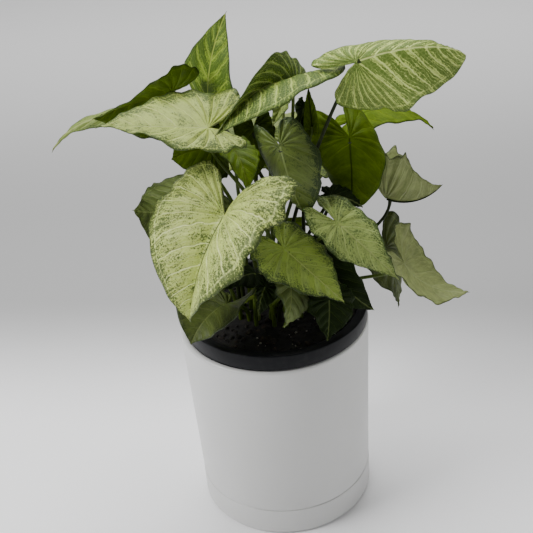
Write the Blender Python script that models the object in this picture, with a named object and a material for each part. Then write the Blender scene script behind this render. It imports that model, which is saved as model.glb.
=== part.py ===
"""An arrowhead vine in a black nursery pot, which stands in a white cover pot on its own saucer.

Metres, +Z up. The origin is the middle of the saucer's underside, on the surface the plant stands
on. +X is to the right of someone who looks at the front, and +Y points away from them.

The pots are turned from outlines. Each leaf is one solid: a thin arrowhead blade, bent, folded and
waved by a few measures, on a stalk that rises out of its own hole in the soil.
"""
import math

import bmesh
import bpy
import numpy as np

# A gap between two pieces that touch in the real thing.
GAP = 0.0003

# The white cover pot, whose rim sets the size of everything else.
RIM_RADIUS = 0.070
RIM_TOP = 0.1564
RIM_EDGE = 0.0022
INNER_EDGE = 0.0018
SIDE_EDGE = 0.0006
SIDE_FOOT_RADIUS = 0.0661
POT_WALL = 0.0048
POT_FOOT_RADIUS = 0.0585
POT_FLOOR = 0.0075
FOOT_RING_WIDTH = 0.008
FOOT_RECESS = 0.003

# The saucer, whose side is flush with the pot's.
SAUCER_RADIUS = 0.0663
SAUCER_HEIGHT = 0.0233
SAUCER_WALL = 0.005
SAUCER_FLOOR = 0.006
SAUCER_EDGE = 0.0035

# The black nursery pot, which hangs in the cover pot by its collar, a little askew.
COLLAR_RADIUS = 0.0682
COLLAR_HEIGHT = 0.0118
COLLAR_WALL = 0.0016
LINER_RADIUS = 0.0622
LINER_FOOT_RADIUS = 0.048
LINER_FOOT = 0.042
LINER_WALL = 0.0014
LINER_CORNER = 0.003
LINER_TILT = 0.9
LINER_SHIFT = (0.0012, -0.0005)
COLLAR_FOOT = RIM_TOP + GAP + COLLAR_RADIUS * math.sin(math.radians(LINER_TILT))
LINER_TOP = COLLAR_FOOT + COLLAR_HEIGHT
HOLE_COUNT = 6
HOLE_RADIUS = 0.004
HOLE_RING = 0.034

# The soil, and the holes the stalks stand in.
SOIL_TOP = 0.163
SOIL_MOUND = 0.0015
SOIL_LUMP = 0.0007
ROOT_DEPTH = 0.010
STRAIGHT_RISE = 0.004

TURN_STEPS = 48
COVER_POT_STEPS = 32  # fewer, so that its collision pieces are worked out in good time

# The blades and stalks.
BLADE_THICKNESS = 0.0008
STATIONS = 10
COLUMNS = 2
STALK_FOOT_RADIUS = 0.0016
STALK_TOP_RADIUS = 0.0011
STALK_STEP = 0.014
STALK_INSET = 0.003

# Half of an arrowhead's outline, from the notch at the stalk back round the lobe and on to the tip.
# Along the midrib the unit is the length from notch to tip, and across it is half the width.
HALF_OUTLINE = (
    (0, 0), (-0.16, 0.03), (-0.33, 0.13), (-0.41, 0.33), (-0.36, 0.57), (-0.18, 0.83),
    (0.06, 0.98), (0.30, 0.95), (0.53, 0.70), (0.75, 0.38), (0.90, 0.14), (1, 0),
)
OUTLINE_LOBE = 0.41
VEIN_LEAN = 0.35

# Each leaf has a base, where the stalk joins the blade, a tip, and the way its upper face looks.
# The rest are measures that bend a flat arrowhead. Lengths are metres and turns are degrees.
# width is across the widest part, and left and right are each half's share of half of it.
# lobe is how far the lobes reach back against the length, and splay is how far they spread.
# arch bends the leaf from base to tip. fold raises each half from the midrib, and cup curls it
# back down by its margin. twist turns it about the midrib, lift raises a lobe, and tip_curl the tip.
# wave and waves are the height and the number of the margin's waves.
USUAL = dict(
    left=1, right=1, lobe=0.4, lobe_l=1, lobe_r=1, splay_l=0.15, splay_r=0.15, arch=30,
    fold_l=10, fold_r=10, cup=20, twist=0, lift_l=0, lift_r=0, tip_curl=0, wave=0.0015, waves=3,
)

LEAVES = {
    "leaf_front_large": dict(
        base=(-0.026, -0.054, 0.274), tip=(-0.055, -0.075, 0.209), face=(-0.3, -0.5, 0.85),
        width=0.107, lobe=0.42, splay_l=0.7, splay_r=0.4, arch=50, fold_l=60, fold_r=35, cup=70,
        lift_l=15, lift_r=-20, twist=5, colour="pale"),
    "leaf_left_level": dict(
        base=(-0.032, -0.012, 0.318), tip=(-0.100, -0.021, 0.330), face=(0, -0.15, 1),
        width=0.085, left=0.6, right=0.95, lobe=0.34, splay_l=0.3, splay_r=0.3, arch=2, fold_r=22,
        cup=30, lift_r=10, twist=-10, colour="pale"),
    "leaf_left_folded": dict(
        base=(-0.057, 0.049, 0.321), tip=(-0.110, 0.018, 0.319), face=(0.15, -1, 0.05),
        width=0.073, left=0.9, right=1.1, lobe=0.3, splay_r=0.1, arch=-30, fold_l=15, fold_r=50,
        cup=5, twist=20, colour="dark"),
    "leaf_far_left": dict(
        base=(-0.0665, 0.062, 0.301), tip=(-0.1464, 0.056, 0.2887), face=(0, -0.3, 1),
        width=0.027, left=0.8, splay_r=0, arch=60, fold_l=-15, fold_r=-15, cup=30, tip_curl=45,
        twist=15, colour="pale"),
    "leaf_top_upright": dict(
        base=(-0.032, 0.052, 0.300), tip=(-0.014, 0.052, 0.373), face=(-0.5, -0.8, 0.3),
        width=0.062, left=0.9, lobe=0.25, splay_l=0, splay_r=0, arch=60, fold_l=-15, fold_r=40,
        twist=-35, colour="fresh"),
    "leaf_top_middle": dict(
        base=(0.027, 0.009, 0.335), tip=(-0.026, -0.047, 0.328), face=(-0.2, -0.5, 0.85),
        width=0.066, left=1.3, right=0.6, lobe=0.42, splay_r=0.1, arch=75, fold_l=55, fold_r=75,
        cup=30, twist=55, colour="veined"),
    "leaf_top_right": dict(
        base=(0.066, -0.024, 0.359), tip=(0.140, 0, 0.347), face=(0.05, -0.7, 0.7),
        width=0.071, left=0.6, right=1.3, lobe=0.42, lobe_l=0.8, lobe_r=0.7, splay_l=0.1,
        splay_r=0.2, arch=90, fold_l=0, fold_r=-25, cup=70, twist=45, colour="veined"),
    "leaf_right_drooping": dict(
        base=(0.071, 0.068, 0.279), tip=(0.128, 0.053, 0.273), face=(0, 0, 1),
        width=0.066, arch=85, fold_l=5, fold_r=0, cup=30, twist=20, colour="fresh"),
    "leaf_right_hanging": dict(
        base=(0.063, 0.012, 0.291), tip=(0.062, 0.019, 0.234), face=(0, -0.9, 0.4),
        width=0.081, left=0.8, right=1.05, lobe=0.45, lobe_l=1.15, lobe_r=0.9, splay_l=-0.1,
        splay_r=0.3, arch=100, fold_l=0, fold_r=-5, cup=80, lift_l=-25, lift_r=-10, twist=-35,
        colour="dark"),
    "leaf_right_underside": dict(
        base=(0.091, 0.040, 0.226), tip=(0.132, 0.041, 0.232), face=(0.1, 0.6, 0.8),
        width=0.101, left=1.2, right=0.95, lobe=0.38, splay_l=0.25, splay_r=0.45, arch=-70,
        fold_l=30, fold_r=15, cup=-35, lift_r=5, twist=20, colour="fresh"),
    "leaf_centre_hanging": dict(
        base=(0.014, -0.015, 0.302), tip=(0.027, -0.007, 0.247), face=(-0.15, -0.85, 0.5),
        width=0.053, left=1.1, right=0.85, lobe=0.3, splay_l=0, splay_r=0.3, arch=100, fold_l=-5,
        fold_r=-10, cup=70, twist=-35, colour="fresh"),
    "leaf_right_front": dict(
        base=(0.049, -0.027, 0.246), tip=(0.087, -0.048, 0.210), face=(0, -0.7, 0.7),
        width=0.036, lobe=0.42, arch=15, cup=15, lift_l=-15, twist=-50, colour="pale"),
    "leaf_middle_front": dict(
        base=(0.011, -0.041, 0.238), tip=(0.047, -0.071, 0.211), face=(0, -0.05, 1),
        width=0.069, left=0.9, right=0.95, lobe=0.34, splay_l=0.05, splay_r=0, arch=0, fold_l=-5,
        cup=5, lift_l=5, colour="olive"),
    "leaf_shade_right": dict(
        base=(0.038, -0.013, 0.208), tip=(0.071, -0.030, 0.175), face=(-0.25, -0.9, 0.25),
        width=0.041, right=0.85, arch=70, fold_l=20, fold_r=20, cup=15, twist=5, colour="deep"),
    "leaf_behind_right": dict(
        base=(0.087, 0.024, 0.193), tip=(0.094, 0.006, 0.152), face=(0.7, -0.65, 0.3),
        width=0.063, lobe=0.48, lobe_l=1.1, splay_l=0.2, fold_l=0, fold_r=5, twist=30,
        colour="deep"),
    "leaf_far_right": dict(
        base=(0.096, -0.012, 0.200), tip=(0.141, -0.018, 0.175), face=(0, 0, 1),
        width=0.065, splay_l=0.2, arch=-70, fold_l=0, fold_r=-15, cup=-40, twist=10,
        colour="olive"),
    "leaf_small_arching": dict(
        base=(0.048, -0.004, 0.256), tip=(0.068, -0.009, 0.247), face=(0, -0.5, 1),
        width=0.018, splay_l=0, splay_r=0, arch=50, wave=0, colour="deep"),
    "leaf_over_rim": dict(
        base=(-0.032, -0.038, 0.196), tip=(-0.058, -0.062, 0.182), face=(-0.6, -0.4, 0.7),
        width=0.076, lobe=0.36, lobe_r=0.8, splay_l=-0.05, splay_r=0, arch=60, fold_l=20,
        fold_r=15, cup=-25, lift_l=-20, twist=35, colour="olive"),
    "leaf_low_middle": dict(
        base=(0.013, -0.045, 0.212), tip=(0.006, -0.065, 0.191), face=(0.65, -0.75, 0.1),
        width=0.048, arch=45, fold_l=20, fold_r=20, cup=35, twist=25, colour="olive"),
    "leaf_low_right": dict(
        base=(0.039, -0.044, 0.196), tip=(0.035, -0.061, 0.174), face=(0.3, -0.9, 0.2),
        width=0.038, arch=20, fold_l=15, fold_r=20, twist=15, colour="deep"),
    "leaf_small_low": dict(
        base=(-0.004, -0.050, 0.215), tip=(-0.010, -0.052, 0.194), face=(-0.3, -0.6, 0.75),
        width=0.020, right=0.6, arch=40, fold_r=-5, twist=-10, wave=0.0005, colour="deep"),
    "leaf_shade_low": dict(
        base=(-0.010, -0.021, 0.208), tip=(-0.033, -0.046, 0.213), face=(0, -0.45, 0.9),
        width=0.031, arch=55, fold_r=5, cup=30, wave=0.001, colour="deep"),
    "leaf_left_back": dict(
        base=(-0.050, -0.013, 0.271), tip=(-0.086, -0.032, 0.273), face=(-0.2, -0.25, 0.95),
        width=0.077, left=1.15, right=0.85, splay_r=0.2, arch=-70, fold_l=-25, fold_r=5, cup=30,
        lift_r=10, twist=25, colour="fresh"),
    "leaf_shade_left": dict(
        base=(-0.032, 0.020, 0.287), tip=(-0.061, 0.019, 0.283), face=(0, -0.5, 0.85),
        width=0.064, right=0.8, lobe=0.25, splay_l=0.1, splay_r=0.1, arch=55, fold_l=25, fold_r=30,
        twist=10, colour="deep"),
    "leaf_young_furled": dict(
        base=(-0.018, -0.006, 0.299), tip=(-0.010, -0.030, 0.278), face=(0.4, -0.75, 0.5),
        width=0.033, right=0.75, splay_r=0.1, arch=80, fold_l=15, fold_r=20, cup=25, lift_r=-5, wave=0.001,
        colour="fresh"),
    "leaf_shade_centre": dict(
        base=(-0.002, 0.018, 0.302), tip=(-0.005, 0.013, 0.263), face=(-0.05, -0.9, 0.4),
        width=0.029, lobe=0.3, arch=15, wave=0.001, colour="dark"),
    "leaf_new_narrow": dict(
        base=(0.020, 0.012, 0.322), tip=(0.011, 0.005, 0.308), face=(-0.3, -0.9, 0.4),
        width=0.013, lobe=0.2, splay_l=0, splay_r=0, arch=20, fold_l=40, fold_r=40, cup=10,
        wave=0, colour="fresh"),
    "leaf_new_curled": dict(
        base=(0.033, 0.023, 0.311), tip=(0.021, 0.014, 0.290), face=(0.5, -0.8, 0.3),
        width=0.016, lobe=0.25, splay_l=0, splay_r=0, arch=60, fold_l=25, fold_r=30, cup=30,
        twist=20, wave=0.0005, colour="dark"),
    "leaf_new_rolled": dict(
        base=(0.038, 0.016, 0.297), tip=(0.037, 0.016, 0.328), face=(-0.2, -1, 0),
        width=0.013, lobe=0.15, splay_l=0, splay_r=0, arch=0, cup=-50, wave=0, colour="fresh"),
    "leaf_back_left": dict(
        base=(-0.037, 0.062, 0.248), tip=(-0.065, 0.092, 0.210), face=(-0.4, 0.6, 0.7),
        width=0.070, arch=55, fold_l=20, fold_r=15, cup=30, colour="pale"),
    "leaf_back_middle": dict(
        base=(0.008, 0.058, 0.278), tip=(0.005, 0.106, 0.264), face=(0, 0.3, 1),
        width=0.078, splay_l=0.2, arch=60, fold_l=20, fold_r=20, cup=35, colour="pale"),
    "leaf_back_right": dict(
        base=(0.026, 0.063, 0.245), tip=(0.046, 0.099, 0.216), face=(0.4, 0.6, 0.7),
        width=0.066, arch=50, fold_l=15, fold_r=20, cup=25, colour="fresh"),
    "leaf_back_low": dict(
        base=(0.005, 0.035, 0.215), tip=(-0.008, 0.072, 0.185), face=(0, 0.6, 0.8),
        width=0.056, arch=45, fold_l=15, fold_r=15, cup=25, colour="fresh"),
}

# Where each stalk leaves the soil, how far it climbs before it leans, how far below the blade it
# aims, and how upright it arrives, from 0 for square to the blade to 1 for straight up.
STALKS = {
    "leaf_front_large": (0.001, -0.006, 0.050, 0.045, 0.35),
    "leaf_left_level": (0.009, -0.024, 0.120, 0.040, 0.8),
    "leaf_left_folded": (-0.021, 0.005, 0.110, 0.055, 0.8),
    "leaf_far_left": (-0.008, -0.001, 0.120, 0.040, 0.6),
    "leaf_top_upright": (0.018, 0.002, 0.120, 0.015, 0.8),
    "leaf_top_middle": (-0.004, 0.024, 0.015, 0.040, 0),
    "leaf_top_right": (0.010, 0.024, 0.050, 0.016, 0),
    "leaf_right_drooping": (0.004, 0.006, 0.030, 0.055, 1),
    "leaf_right_hanging": (0.016, 0.018, 0.015, 0.045, 0.7),
    "leaf_right_underside": (0.012, 0.01, 0.030, 0.035, 0.8),
    "leaf_centre_hanging": (0.011, 0.004, 0.015, 0.008, 0.7),
    "leaf_right_front": (0.008, -0.005, 0.050, 0.016, 0.35),
    "leaf_middle_front": (0.020, -0.015, 0.050, 0.008, 1),
    "leaf_shade_right": (0.012, -0.012, 0.015, 0.008, 0.7),
    "leaf_behind_right": (0.012, -0.018, 0.050, 0.055, 0),
    "leaf_far_right": (0.026, -0.008, 0.030, 0.020, 0),
    "leaf_small_arching": (0.023, -0.002, 0.015, 0.045, 1),
    "leaf_over_rim": (-0.018, -0.014, 0.015, 0.008, 0),
    "leaf_low_middle": (-0.002, -0.015, 0.015, 0.008, 0.7),
    "leaf_low_right": (0.004, -0.018, 0.030, 0.028, 0.35),
    "leaf_small_low": (0, -0.024, 0.015, 0.008, 0.7),
    "leaf_shade_low": (-0.013, -0.021, 0.015, 0.008, 1),
    "leaf_left_back": (-0.024, -0.011, 0.015, 0.008, 0.35),
    "leaf_shade_left": (-0.024, -0.002, 0.110, 0.008, 1),
    "leaf_young_furled": (-0.016, 0.001, 0.015, 0.008, 1),
    "leaf_shade_centre": (-0.011, 0.005, 0.080, 0.065, 1),
    "leaf_new_narrow": (-0.011, -0.014, 0.030, 0.028, 0.7),
    "leaf_new_curled": (0.025, 0.007, 0.015, 0.035, 0.8),
    "leaf_new_rolled": (-0.001, 0.017, 0.030, 0.016, 1),
    "leaf_back_left": (-0.014, 0.023, 0.015, 0.010, 0.8),
    "leaf_back_middle": (0.003, 0, 0.050, 0.020, 0),
    "leaf_back_right": (-0.023, 0.012, 0.120, 0.040, 0.2),
    "leaf_back_low": (0.004, 0.022, 0.015, 0.010, 0.8),
}

LEAF_COLOURS = {
    "pale": (0.42, 0.47, 0.27),
    "veined": (0.30, 0.38, 0.13),
    "fresh": (0.16, 0.24, 0.05),
    "dark": (0.06, 0.10, 0.012),
    "olive": (0.17, 0.21, 0.09),
    "deep": (0.022, 0.042, 0.014),
}


def clear_scene():
    for thing in list(bpy.data.objects):
        bpy.data.objects.remove(thing, do_unlink=True)


def coat(piece, colour, roughness):
    """Gives the piece its own material."""
    material = bpy.data.materials.new(piece.name + "_finish")
    material.use_nodes = True
    shader = material.node_tree.nodes["Principled BSDF"]
    shader.inputs["Base Color"].default_value = (*colour, 1)
    shader.inputs["Roughness"].default_value = roughness
    piece.data.materials.clear()
    piece.data.materials.append(material)


def new_piece(name, mesh):
    piece = bpy.data.objects.new(name, mesh)
    bpy.context.scene.collection.objects.link(piece)
    return piece


def piece_from_bmesh(name, shape):
    bmesh.ops.recalc_face_normals(shape, faces=shape.faces)
    mesh = bpy.data.meshes.new(name)
    shape.to_mesh(mesh)
    shape.free()
    mesh.shade_smooth()
    mesh.set_sharp_from_angle(angle=math.radians(35))
    return new_piece(name, mesh)


def turned(name, outline, closed=True, steps=TURN_STEPS):
    """Spins an outline of (radius, height) points round the Z axis.

    A closed outline makes a ring. An open one starts and ends on the axis.
    """
    shape = bmesh.new()
    points = [shape.verts.new((r, 0, z)) for r, z in outline]
    pairs = list(zip(points, points[1:])) + ([(points[-1], points[0])] if closed else [])
    edges = [shape.edges.new(pair) for pair in pairs]
    bmesh.ops.spin(
        shape, geom=points + edges, cent=(0, 0, 0), axis=(0, 0, 1),
        angle=2 * math.pi, steps=steps, use_merge=True,
    )
    bmesh.ops.remove_doubles(shape, verts=shape.verts, dist=1e-6)
    return piece_from_bmesh(name, shape)


def quarter(centre, radius, start, steps=3):
    """Points of a quarter circle, as (radius, height), turning anticlockwise from start degrees."""
    turns = [math.radians(start + 90 * step / steps) for step in range(steps + 1)]
    return [(centre[0] + radius * math.cos(t), centre[1] + radius * math.sin(t)) for t in turns]


def boolean(piece, other, operation, solver="EXACT"):
    """Joins or cuts the piece with another object, applies the result and removes the other."""
    step = piece.modifiers.new(operation.lower(), "BOOLEAN")
    step.operation = operation
    step.solver = solver
    step.object = other
    graph = bpy.context.evaluated_depsgraph_get()
    finished = bpy.data.meshes.new_from_object(piece.evaluated_get(graph))
    piece.modifiers.remove(step)
    piece.data = finished
    bpy.data.objects.remove(other, do_unlink=True)


def prisms(name, places, radius, bottom, top, sides):
    """Upright prisms at several places, as one cutting tool."""
    shape = bmesh.new()
    for x, y in places:
        made = bmesh.ops.create_cone(
            shape, cap_ends=True, segments=sides, radius1=radius, radius2=radius,
            depth=top - bottom,
        )
        bmesh.ops.translate(shape, verts=made["verts"], vec=(x, y, (top + bottom) / 2))
    cutter = piece_from_bmesh(name, shape)
    cutter.hide_render = True
    cutter.display_type = "WIRE"
    return cutter


def make_saucer():
    inner = SAUCER_RADIUS - SAUCER_WALL
    outline = [(0, 0)]
    outline += quarter((SAUCER_RADIUS - SAUCER_EDGE, SAUCER_EDGE), SAUCER_EDGE, -90)
    outline += quarter((SAUCER_RADIUS - 0.001, SAUCER_HEIGHT - 0.001), 0.001, 0, 2)
    outline += [(inner, SAUCER_HEIGHT), (inner - 0.001, SAUCER_FLOOR + 0.002)]
    outline += [(inner - 0.003, SAUCER_FLOOR), (0, SAUCER_FLOOR)]
    coat(turned("saucer", outline, closed=False), (0.80, 0.80, 0.79), 0.35)


def make_cover_pot():
    foot = SAUCER_FLOOR + GAP
    shoulder = SAUCER_HEIGHT + GAP
    floor = foot + FOOT_RECESS + POT_FLOOR
    inner_foot = SIDE_FOOT_RADIUS - POT_WALL
    outline = [
        (0, foot + FOOT_RECESS),
        (POT_FOOT_RADIUS - FOOT_RING_WIDTH, foot + FOOT_RECESS),
        (POT_FOOT_RADIUS - FOOT_RING_WIDTH, foot),
        (POT_FOOT_RADIUS, foot),
        (POT_FOOT_RADIUS, shoulder),
    ]
    outline += quarter((SIDE_FOOT_RADIUS - SIDE_EDGE, shoulder + SIDE_EDGE), SIDE_EDGE, -90, 2)
    outline += quarter((RIM_RADIUS - RIM_EDGE, RIM_TOP - RIM_EDGE), RIM_EDGE, 0, 2)
    rim_inside = RIM_RADIUS - POT_WALL + INNER_EDGE
    outline += quarter((rim_inside, RIM_TOP - INNER_EDGE), INNER_EDGE, 90, 2)
    outline += [(inner_foot, floor + 0.006), (inner_foot - 0.005, floor), (0, floor)]
    coat(turned("cover_pot", outline, closed=False, steps=COVER_POT_STEPS), (0.80, 0.80, 0.79), 0.35)


def make_nursery_pot():
    under = LINER_TOP - COLLAR_WALL
    skirt = COLLAR_RADIUS - COLLAR_WALL
    outline = [
        (0, LINER_FOOT),
        (LINER_FOOT_RADIUS - LINER_CORNER, LINER_FOOT),
        (LINER_FOOT_RADIUS, LINER_FOOT + LINER_CORNER),
        (LINER_RADIUS, under - 0.004),
        (LINER_RADIUS + 0.0008, under),
        (skirt, under),
        (skirt, COLLAR_FOOT),
        (COLLAR_RADIUS, COLLAR_FOOT),
        (COLLAR_RADIUS, LINER_TOP - 0.0008),
        (COLLAR_RADIUS - 0.0008, LINER_TOP),
        (LINER_RADIUS + 0.0004, LINER_TOP),
        (LINER_RADIUS - LINER_WALL, LINER_TOP - 0.0014),
        (LINER_FOOT_RADIUS - LINER_WALL, LINER_FOOT + LINER_WALL + LINER_CORNER),
        (LINER_FOOT_RADIUS - LINER_WALL - LINER_CORNER, LINER_FOOT + LINER_WALL),
        (0, LINER_FOOT + LINER_WALL),
    ]
    pot = turned("nursery_pot", outline, closed=False)
    turns = [2 * math.pi * (k + 0.5) / HOLE_COUNT for k in range(HOLE_COUNT)]
    places = [(HOLE_RING * math.cos(t), HOLE_RING * math.sin(t)) for t in turns]
    below, above = LINER_FOOT - 0.004, LINER_FOOT + LINER_WALL + 0.004
    boolean(pot, prisms("pot_holes", places, HOLE_RADIUS, below, above, 10), "DIFFERENCE")
    set_askew(pot)
    coat(pot, (0.012, 0.013, 0.015), 0.45)


def set_askew(piece):
    """Tilts a piece with the nursery pot about its collar, lower on the right, and shifts it."""
    turn = math.radians(LINER_TILT)
    pivot = RIM_TOP + GAP
    for point in piece.data.vertices:
        x, z = point.co.x, point.co.z - pivot
        point.co.x = x * math.cos(turn) + z * math.sin(turn) + LINER_SHIFT[0]
        point.co.y += LINER_SHIFT[1]
        point.co.z = z * math.cos(turn) - x * math.sin(turn) + pivot


def soil_height(x, y):
    """A low mound with soft lumps."""
    away = math.hypot(x, y) / LINER_RADIUS
    lumps = math.sin(190 * x + 1) * math.sin(170 * y) + math.sin(310 * x - 240 * y + 2)
    return SOIL_TOP + SOIL_MOUND * (1 - away * away) + SOIL_LUMP * lumps


def make_soil():
    foot = LINER_FOOT + LINER_WALL + GAP
    slope = (LINER_RADIUS - LINER_FOOT_RADIUS) / (LINER_TOP - LINER_FOOT)
    foot_radius = LINER_FOOT_RADIUS - LINER_WALL - GAP - LINER_CORNER * slope
    top_radius = foot_radius + slope * (SOIL_TOP - foot)
    outline = [(0, foot), (foot_radius - LINER_CORNER, foot), (foot_radius, foot + LINER_CORNER)]
    outline += [(top_radius * share, SOIL_TOP) for share in (1, 0.75, 0.5, 0.25, 0)]
    soil = turned("soil", outline, closed=False)
    for point in soil.data.vertices:
        if abs(point.co.z - SOIL_TOP) < 1e-6 and math.hypot(point.co.x, point.co.y) < top_radius - 1e-5:
            point.co.z = soil_height(point.co.x, point.co.y)
    set_askew(soil)
    places = [stalk[:2] for stalk in STALKS.values()]
    bottom = SOIL_TOP - ROOT_DEPTH - GAP
    holes = prisms("stalk_holes", places, STALK_FOOT_RADIUS + 1.6 * GAP, bottom, SOIL_TOP + 0.02, 8)
    boolean(soil, holes, "DIFFERENCE")
    coat(soil, (0.012, 0.010, 0.008), 0.95)


def unit(vector):
    vector = np.asarray(vector, float)
    return vector / np.linalg.norm(vector)


def smooth_through(points, count):
    """Evenly timed points on a smooth curve through the given ones (Catmull-Rom)."""
    given = np.asarray(points, float)
    ends = np.vstack([2 * given[0] - given[1], given, 2 * given[-1] - given[-2]])
    time = np.linspace(0, len(given) - 1, count)
    first = np.minimum(time.astype(int), len(given) - 2)
    f = (time - first)[:, None]
    a, b, c, d = ends[first], ends[first + 1], ends[first + 2], ends[first + 3]
    return 0.5 * (
        2 * b + (c - a) * f + (2 * a - 5 * b + 4 * c - d) * f**2 + (3 * b - a - 3 * c + d) * f**3
    )


class Blade:
    """A leaf's blade: where each point of a flat arrowhead goes when the leaf is shaped."""

    def __init__(self, leaf):
        self.m = {**USUAL, **leaf}
        self.base = np.asarray(leaf["base"], float)
        tip = np.asarray(leaf["tip"], float)
        self.along = unit(tip - self.base)
        face = np.asarray(leaf["face"], float)
        self.normal = unit(face - self.along * (face @ self.along))
        self.across = np.cross(self.along, self.normal)
        chord = np.linalg.norm(tip - self.base)
        self.bend = math.radians(self.m["arch"]) or 1e-4
        self.length = chord * (self.bend / 2) / math.sin(self.bend / 2)

    def place(self, side, x, y, time):
        """World points for distances x along the midrib and y out from it, on one side."""
        m, letter = self.m, "r" if side > 0 else "l"
        half = m["width"] / 2 * m["right" if side > 0 else "left"]
        fold = math.radians(m["fold_" + letter])
        curl = -(math.radians(m["cup"]) or 1e-4) / half
        out = (np.sin(fold + curl * y) - math.sin(fold)) / curl
        up = (math.cos(fold) - np.cos(fold + curl * y)) / curl
        phase = 0.37 if side > 0 else 0
        ripple = np.sin(2 * math.pi * (m["waves"] * time + phase)) * np.sqrt(np.sin(math.pi * time))
        up = up + m["wave"] * (y / half) ** 2 * ripple
        back = np.clip(-x, 0, None) / self.length
        lift = math.radians(m["lift_" + letter])
        up = up + lift * self.length * back * np.clip(3 * back, 0, 1)
        kappa = self.bend / self.length
        angle = kappa * np.clip(x, 0, None)
        rib_x = np.where(x > 0, np.sin(angle) / kappa, x)
        rib_z = -(1 - np.cos(angle)) / kappa
        tip_curl = math.radians(m["tip_curl"]) * np.clip(x / self.length - 0.7, 0, None) ** 2 / 0.09
        rib_z = rib_z - np.sin(tip_curl) * np.clip(x - 0.7 * self.length, 0, None) * 0.5
        angle = angle + tip_curl
        twist = math.radians(m["twist"]) * np.clip(x / self.length, -0.5, 1)
        wide = side * out * np.cos(twist) - up * np.sin(twist)
        high = side * out * np.sin(twist) + up * np.cos(twist)
        rib_x = rib_x + np.sin(angle) * high
        rib_z = rib_z + np.cos(angle) * high
        ahead = rib_x * math.cos(self.bend / 2) - rib_z * math.sin(self.bend / 2)
        rise = rib_x * math.sin(self.bend / 2) + rib_z * math.cos(self.bend / 2)
        return self.base + np.stack([ahead, wide, rise], -1) @ np.stack(
            [self.along, self.across, self.normal]
        )

    def grid(self, side, stations, columns):
        """Rows of points from the midrib to the margin, along the side veins, notch to tip."""
        m, letter = self.m, "r" if side > 0 else "l"
        outline = smooth_through(HALF_OUTLINE, stations + 1)
        time = np.linspace(0, 1, stations + 1)[:, None]
        u, v = outline[:, :1], outline[:, 1:]
        lobe = m["lobe"] * m["lobe_" + letter] / OUTLINE_LOBE
        v = v + m["splay_" + letter] * np.clip(-u / OUTLINE_LOBE, 0, 1)
        u = np.where(u < 0, u * lobe, u)
        rib = np.clip(u - VEIN_LEAN * v, 0, 1)
        share = np.linspace(0, 1, columns + 1)[None, :]
        half = m["width"] / 2 * m["right" if side > 0 else "left"]
        x = self.length * (rib + (u - rib) * share)
        y = half * v * share
        return self.place(side, x, y, time + 0 * share)

    def stalk_end(self):
        """Where the stalk meets the blade, just inside the notch."""
        inset, none = np.array([STALK_INSET]), np.zeros(1)
        return self.place(1, inset, none, none)[0]


def blade_piece(name, blade):
    """The blade as a thin closed shell, split into triangles alike on both faces."""
    shape = bmesh.new()
    for side in (-1, 1):
        rows = blade.grid(side, STATIONS, COLUMNS)
        verts = [[shape.verts.new(point) for point in row] for row in rows]
        for near, far in zip(verts, verts[1:]):
            for a, b, c, d in zip(near, near[1:], far[1:], far):
                shape.faces.new((a, b, c, d) if side > 0 else (d, c, b, a))
    bmesh.ops.remove_doubles(shape, verts=shape.verts, dist=2e-5)
    bmesh.ops.triangulate(shape, faces=shape.faces)
    piece = piece_from_bmesh(name, shape)
    step = piece.modifiers.new("thickness", "SOLIDIFY")
    step.thickness = BLADE_THICKNESS
    step.offset = 0
    graph = bpy.context.evaluated_depsgraph_get()
    thick = bmesh.new()
    thick.from_object(piece, graph)
    bpy.data.objects.remove(piece, do_unlink=True)
    return piece_from_bmesh(name, thick)


def stalk_route(blade, stalk):
    """Points of the stalk's middle line, from its foot in the soil to the blade."""
    x, y, rise, reach, upright = stalk
    foot = np.array([x, y, SOIL_TOP - ROOT_DEPTH])
    start = np.array([x, y, SOIL_TOP + STRAIGHT_RISE])
    end = blade.stalk_end()
    up = np.array([0, 0, 1.0])
    square = unit(0.9 * blade.normal + 0.35 * blade.along)
    arrive = unit(square * (1 - upright) + up * upright)
    first, second = start + up * rise, end - arrive * reach
    count = max(4, round(np.linalg.norm(end - start) / STALK_STEP))
    t = np.linspace(0, 1, count + 1)[:, None]
    curve = (1 - t) ** 3 * start + 3 * (1 - t) ** 2 * t * first
    curve = curve + 3 * (1 - t) * t**2 * second + t**3 * end
    return np.vstack([foot, curve])


def stalk_piece(name, route):
    """A tapered six-sided tube along the route, made from a curve."""
    curve = bpy.data.curves.new(name, "CURVE")
    curve.dimensions = "3D"
    curve.bevel_depth = STALK_FOOT_RADIUS
    curve.bevel_resolution = 1
    curve.use_fill_caps = True
    line = curve.splines.new("POLY")
    line.points.add(len(route) - 1)
    thin = STALK_TOP_RADIUS / STALK_FOOT_RADIUS
    for k, (point, spot) in enumerate(zip(line.points, route)):
        point.co = (*spot, 1)
        point.radius = 1 + (thin - 1) * max(0, k - 1) / (len(route) - 2)
    guide = new_piece(name, curve)
    graph = bpy.context.evaluated_depsgraph_get()
    mesh = bpy.data.meshes.new_from_object(guide.evaluated_get(graph))
    bpy.data.objects.remove(guide, do_unlink=True)
    shape = bmesh.new()
    shape.from_mesh(mesh)
    bmesh.ops.remove_doubles(shape, verts=shape.verts, dist=1e-6)
    return piece_from_bmesh(name, shape)


def make_leaf(name, leaf, stalk):
    blade = Blade(leaf)
    piece = blade_piece(name, blade)
    joined = stalk_piece(name + "_stalk", stalk_route(blade, stalk))
    # The exact solver fails on two of the leaves, so all are joined by the manifold one.
    boolean(piece, joined, "UNION", solver="MANIFOLD")
    coat(piece, LEAF_COLOURS[leaf["colour"]], 0.45)


def main():
    clear_scene()
    make_saucer()
    make_cover_pot()
    make_nursery_pot()
    make_soil()
    for name, leaf in LEAVES.items():
        make_leaf(name, leaf, STALKS[name])


main()
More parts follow.
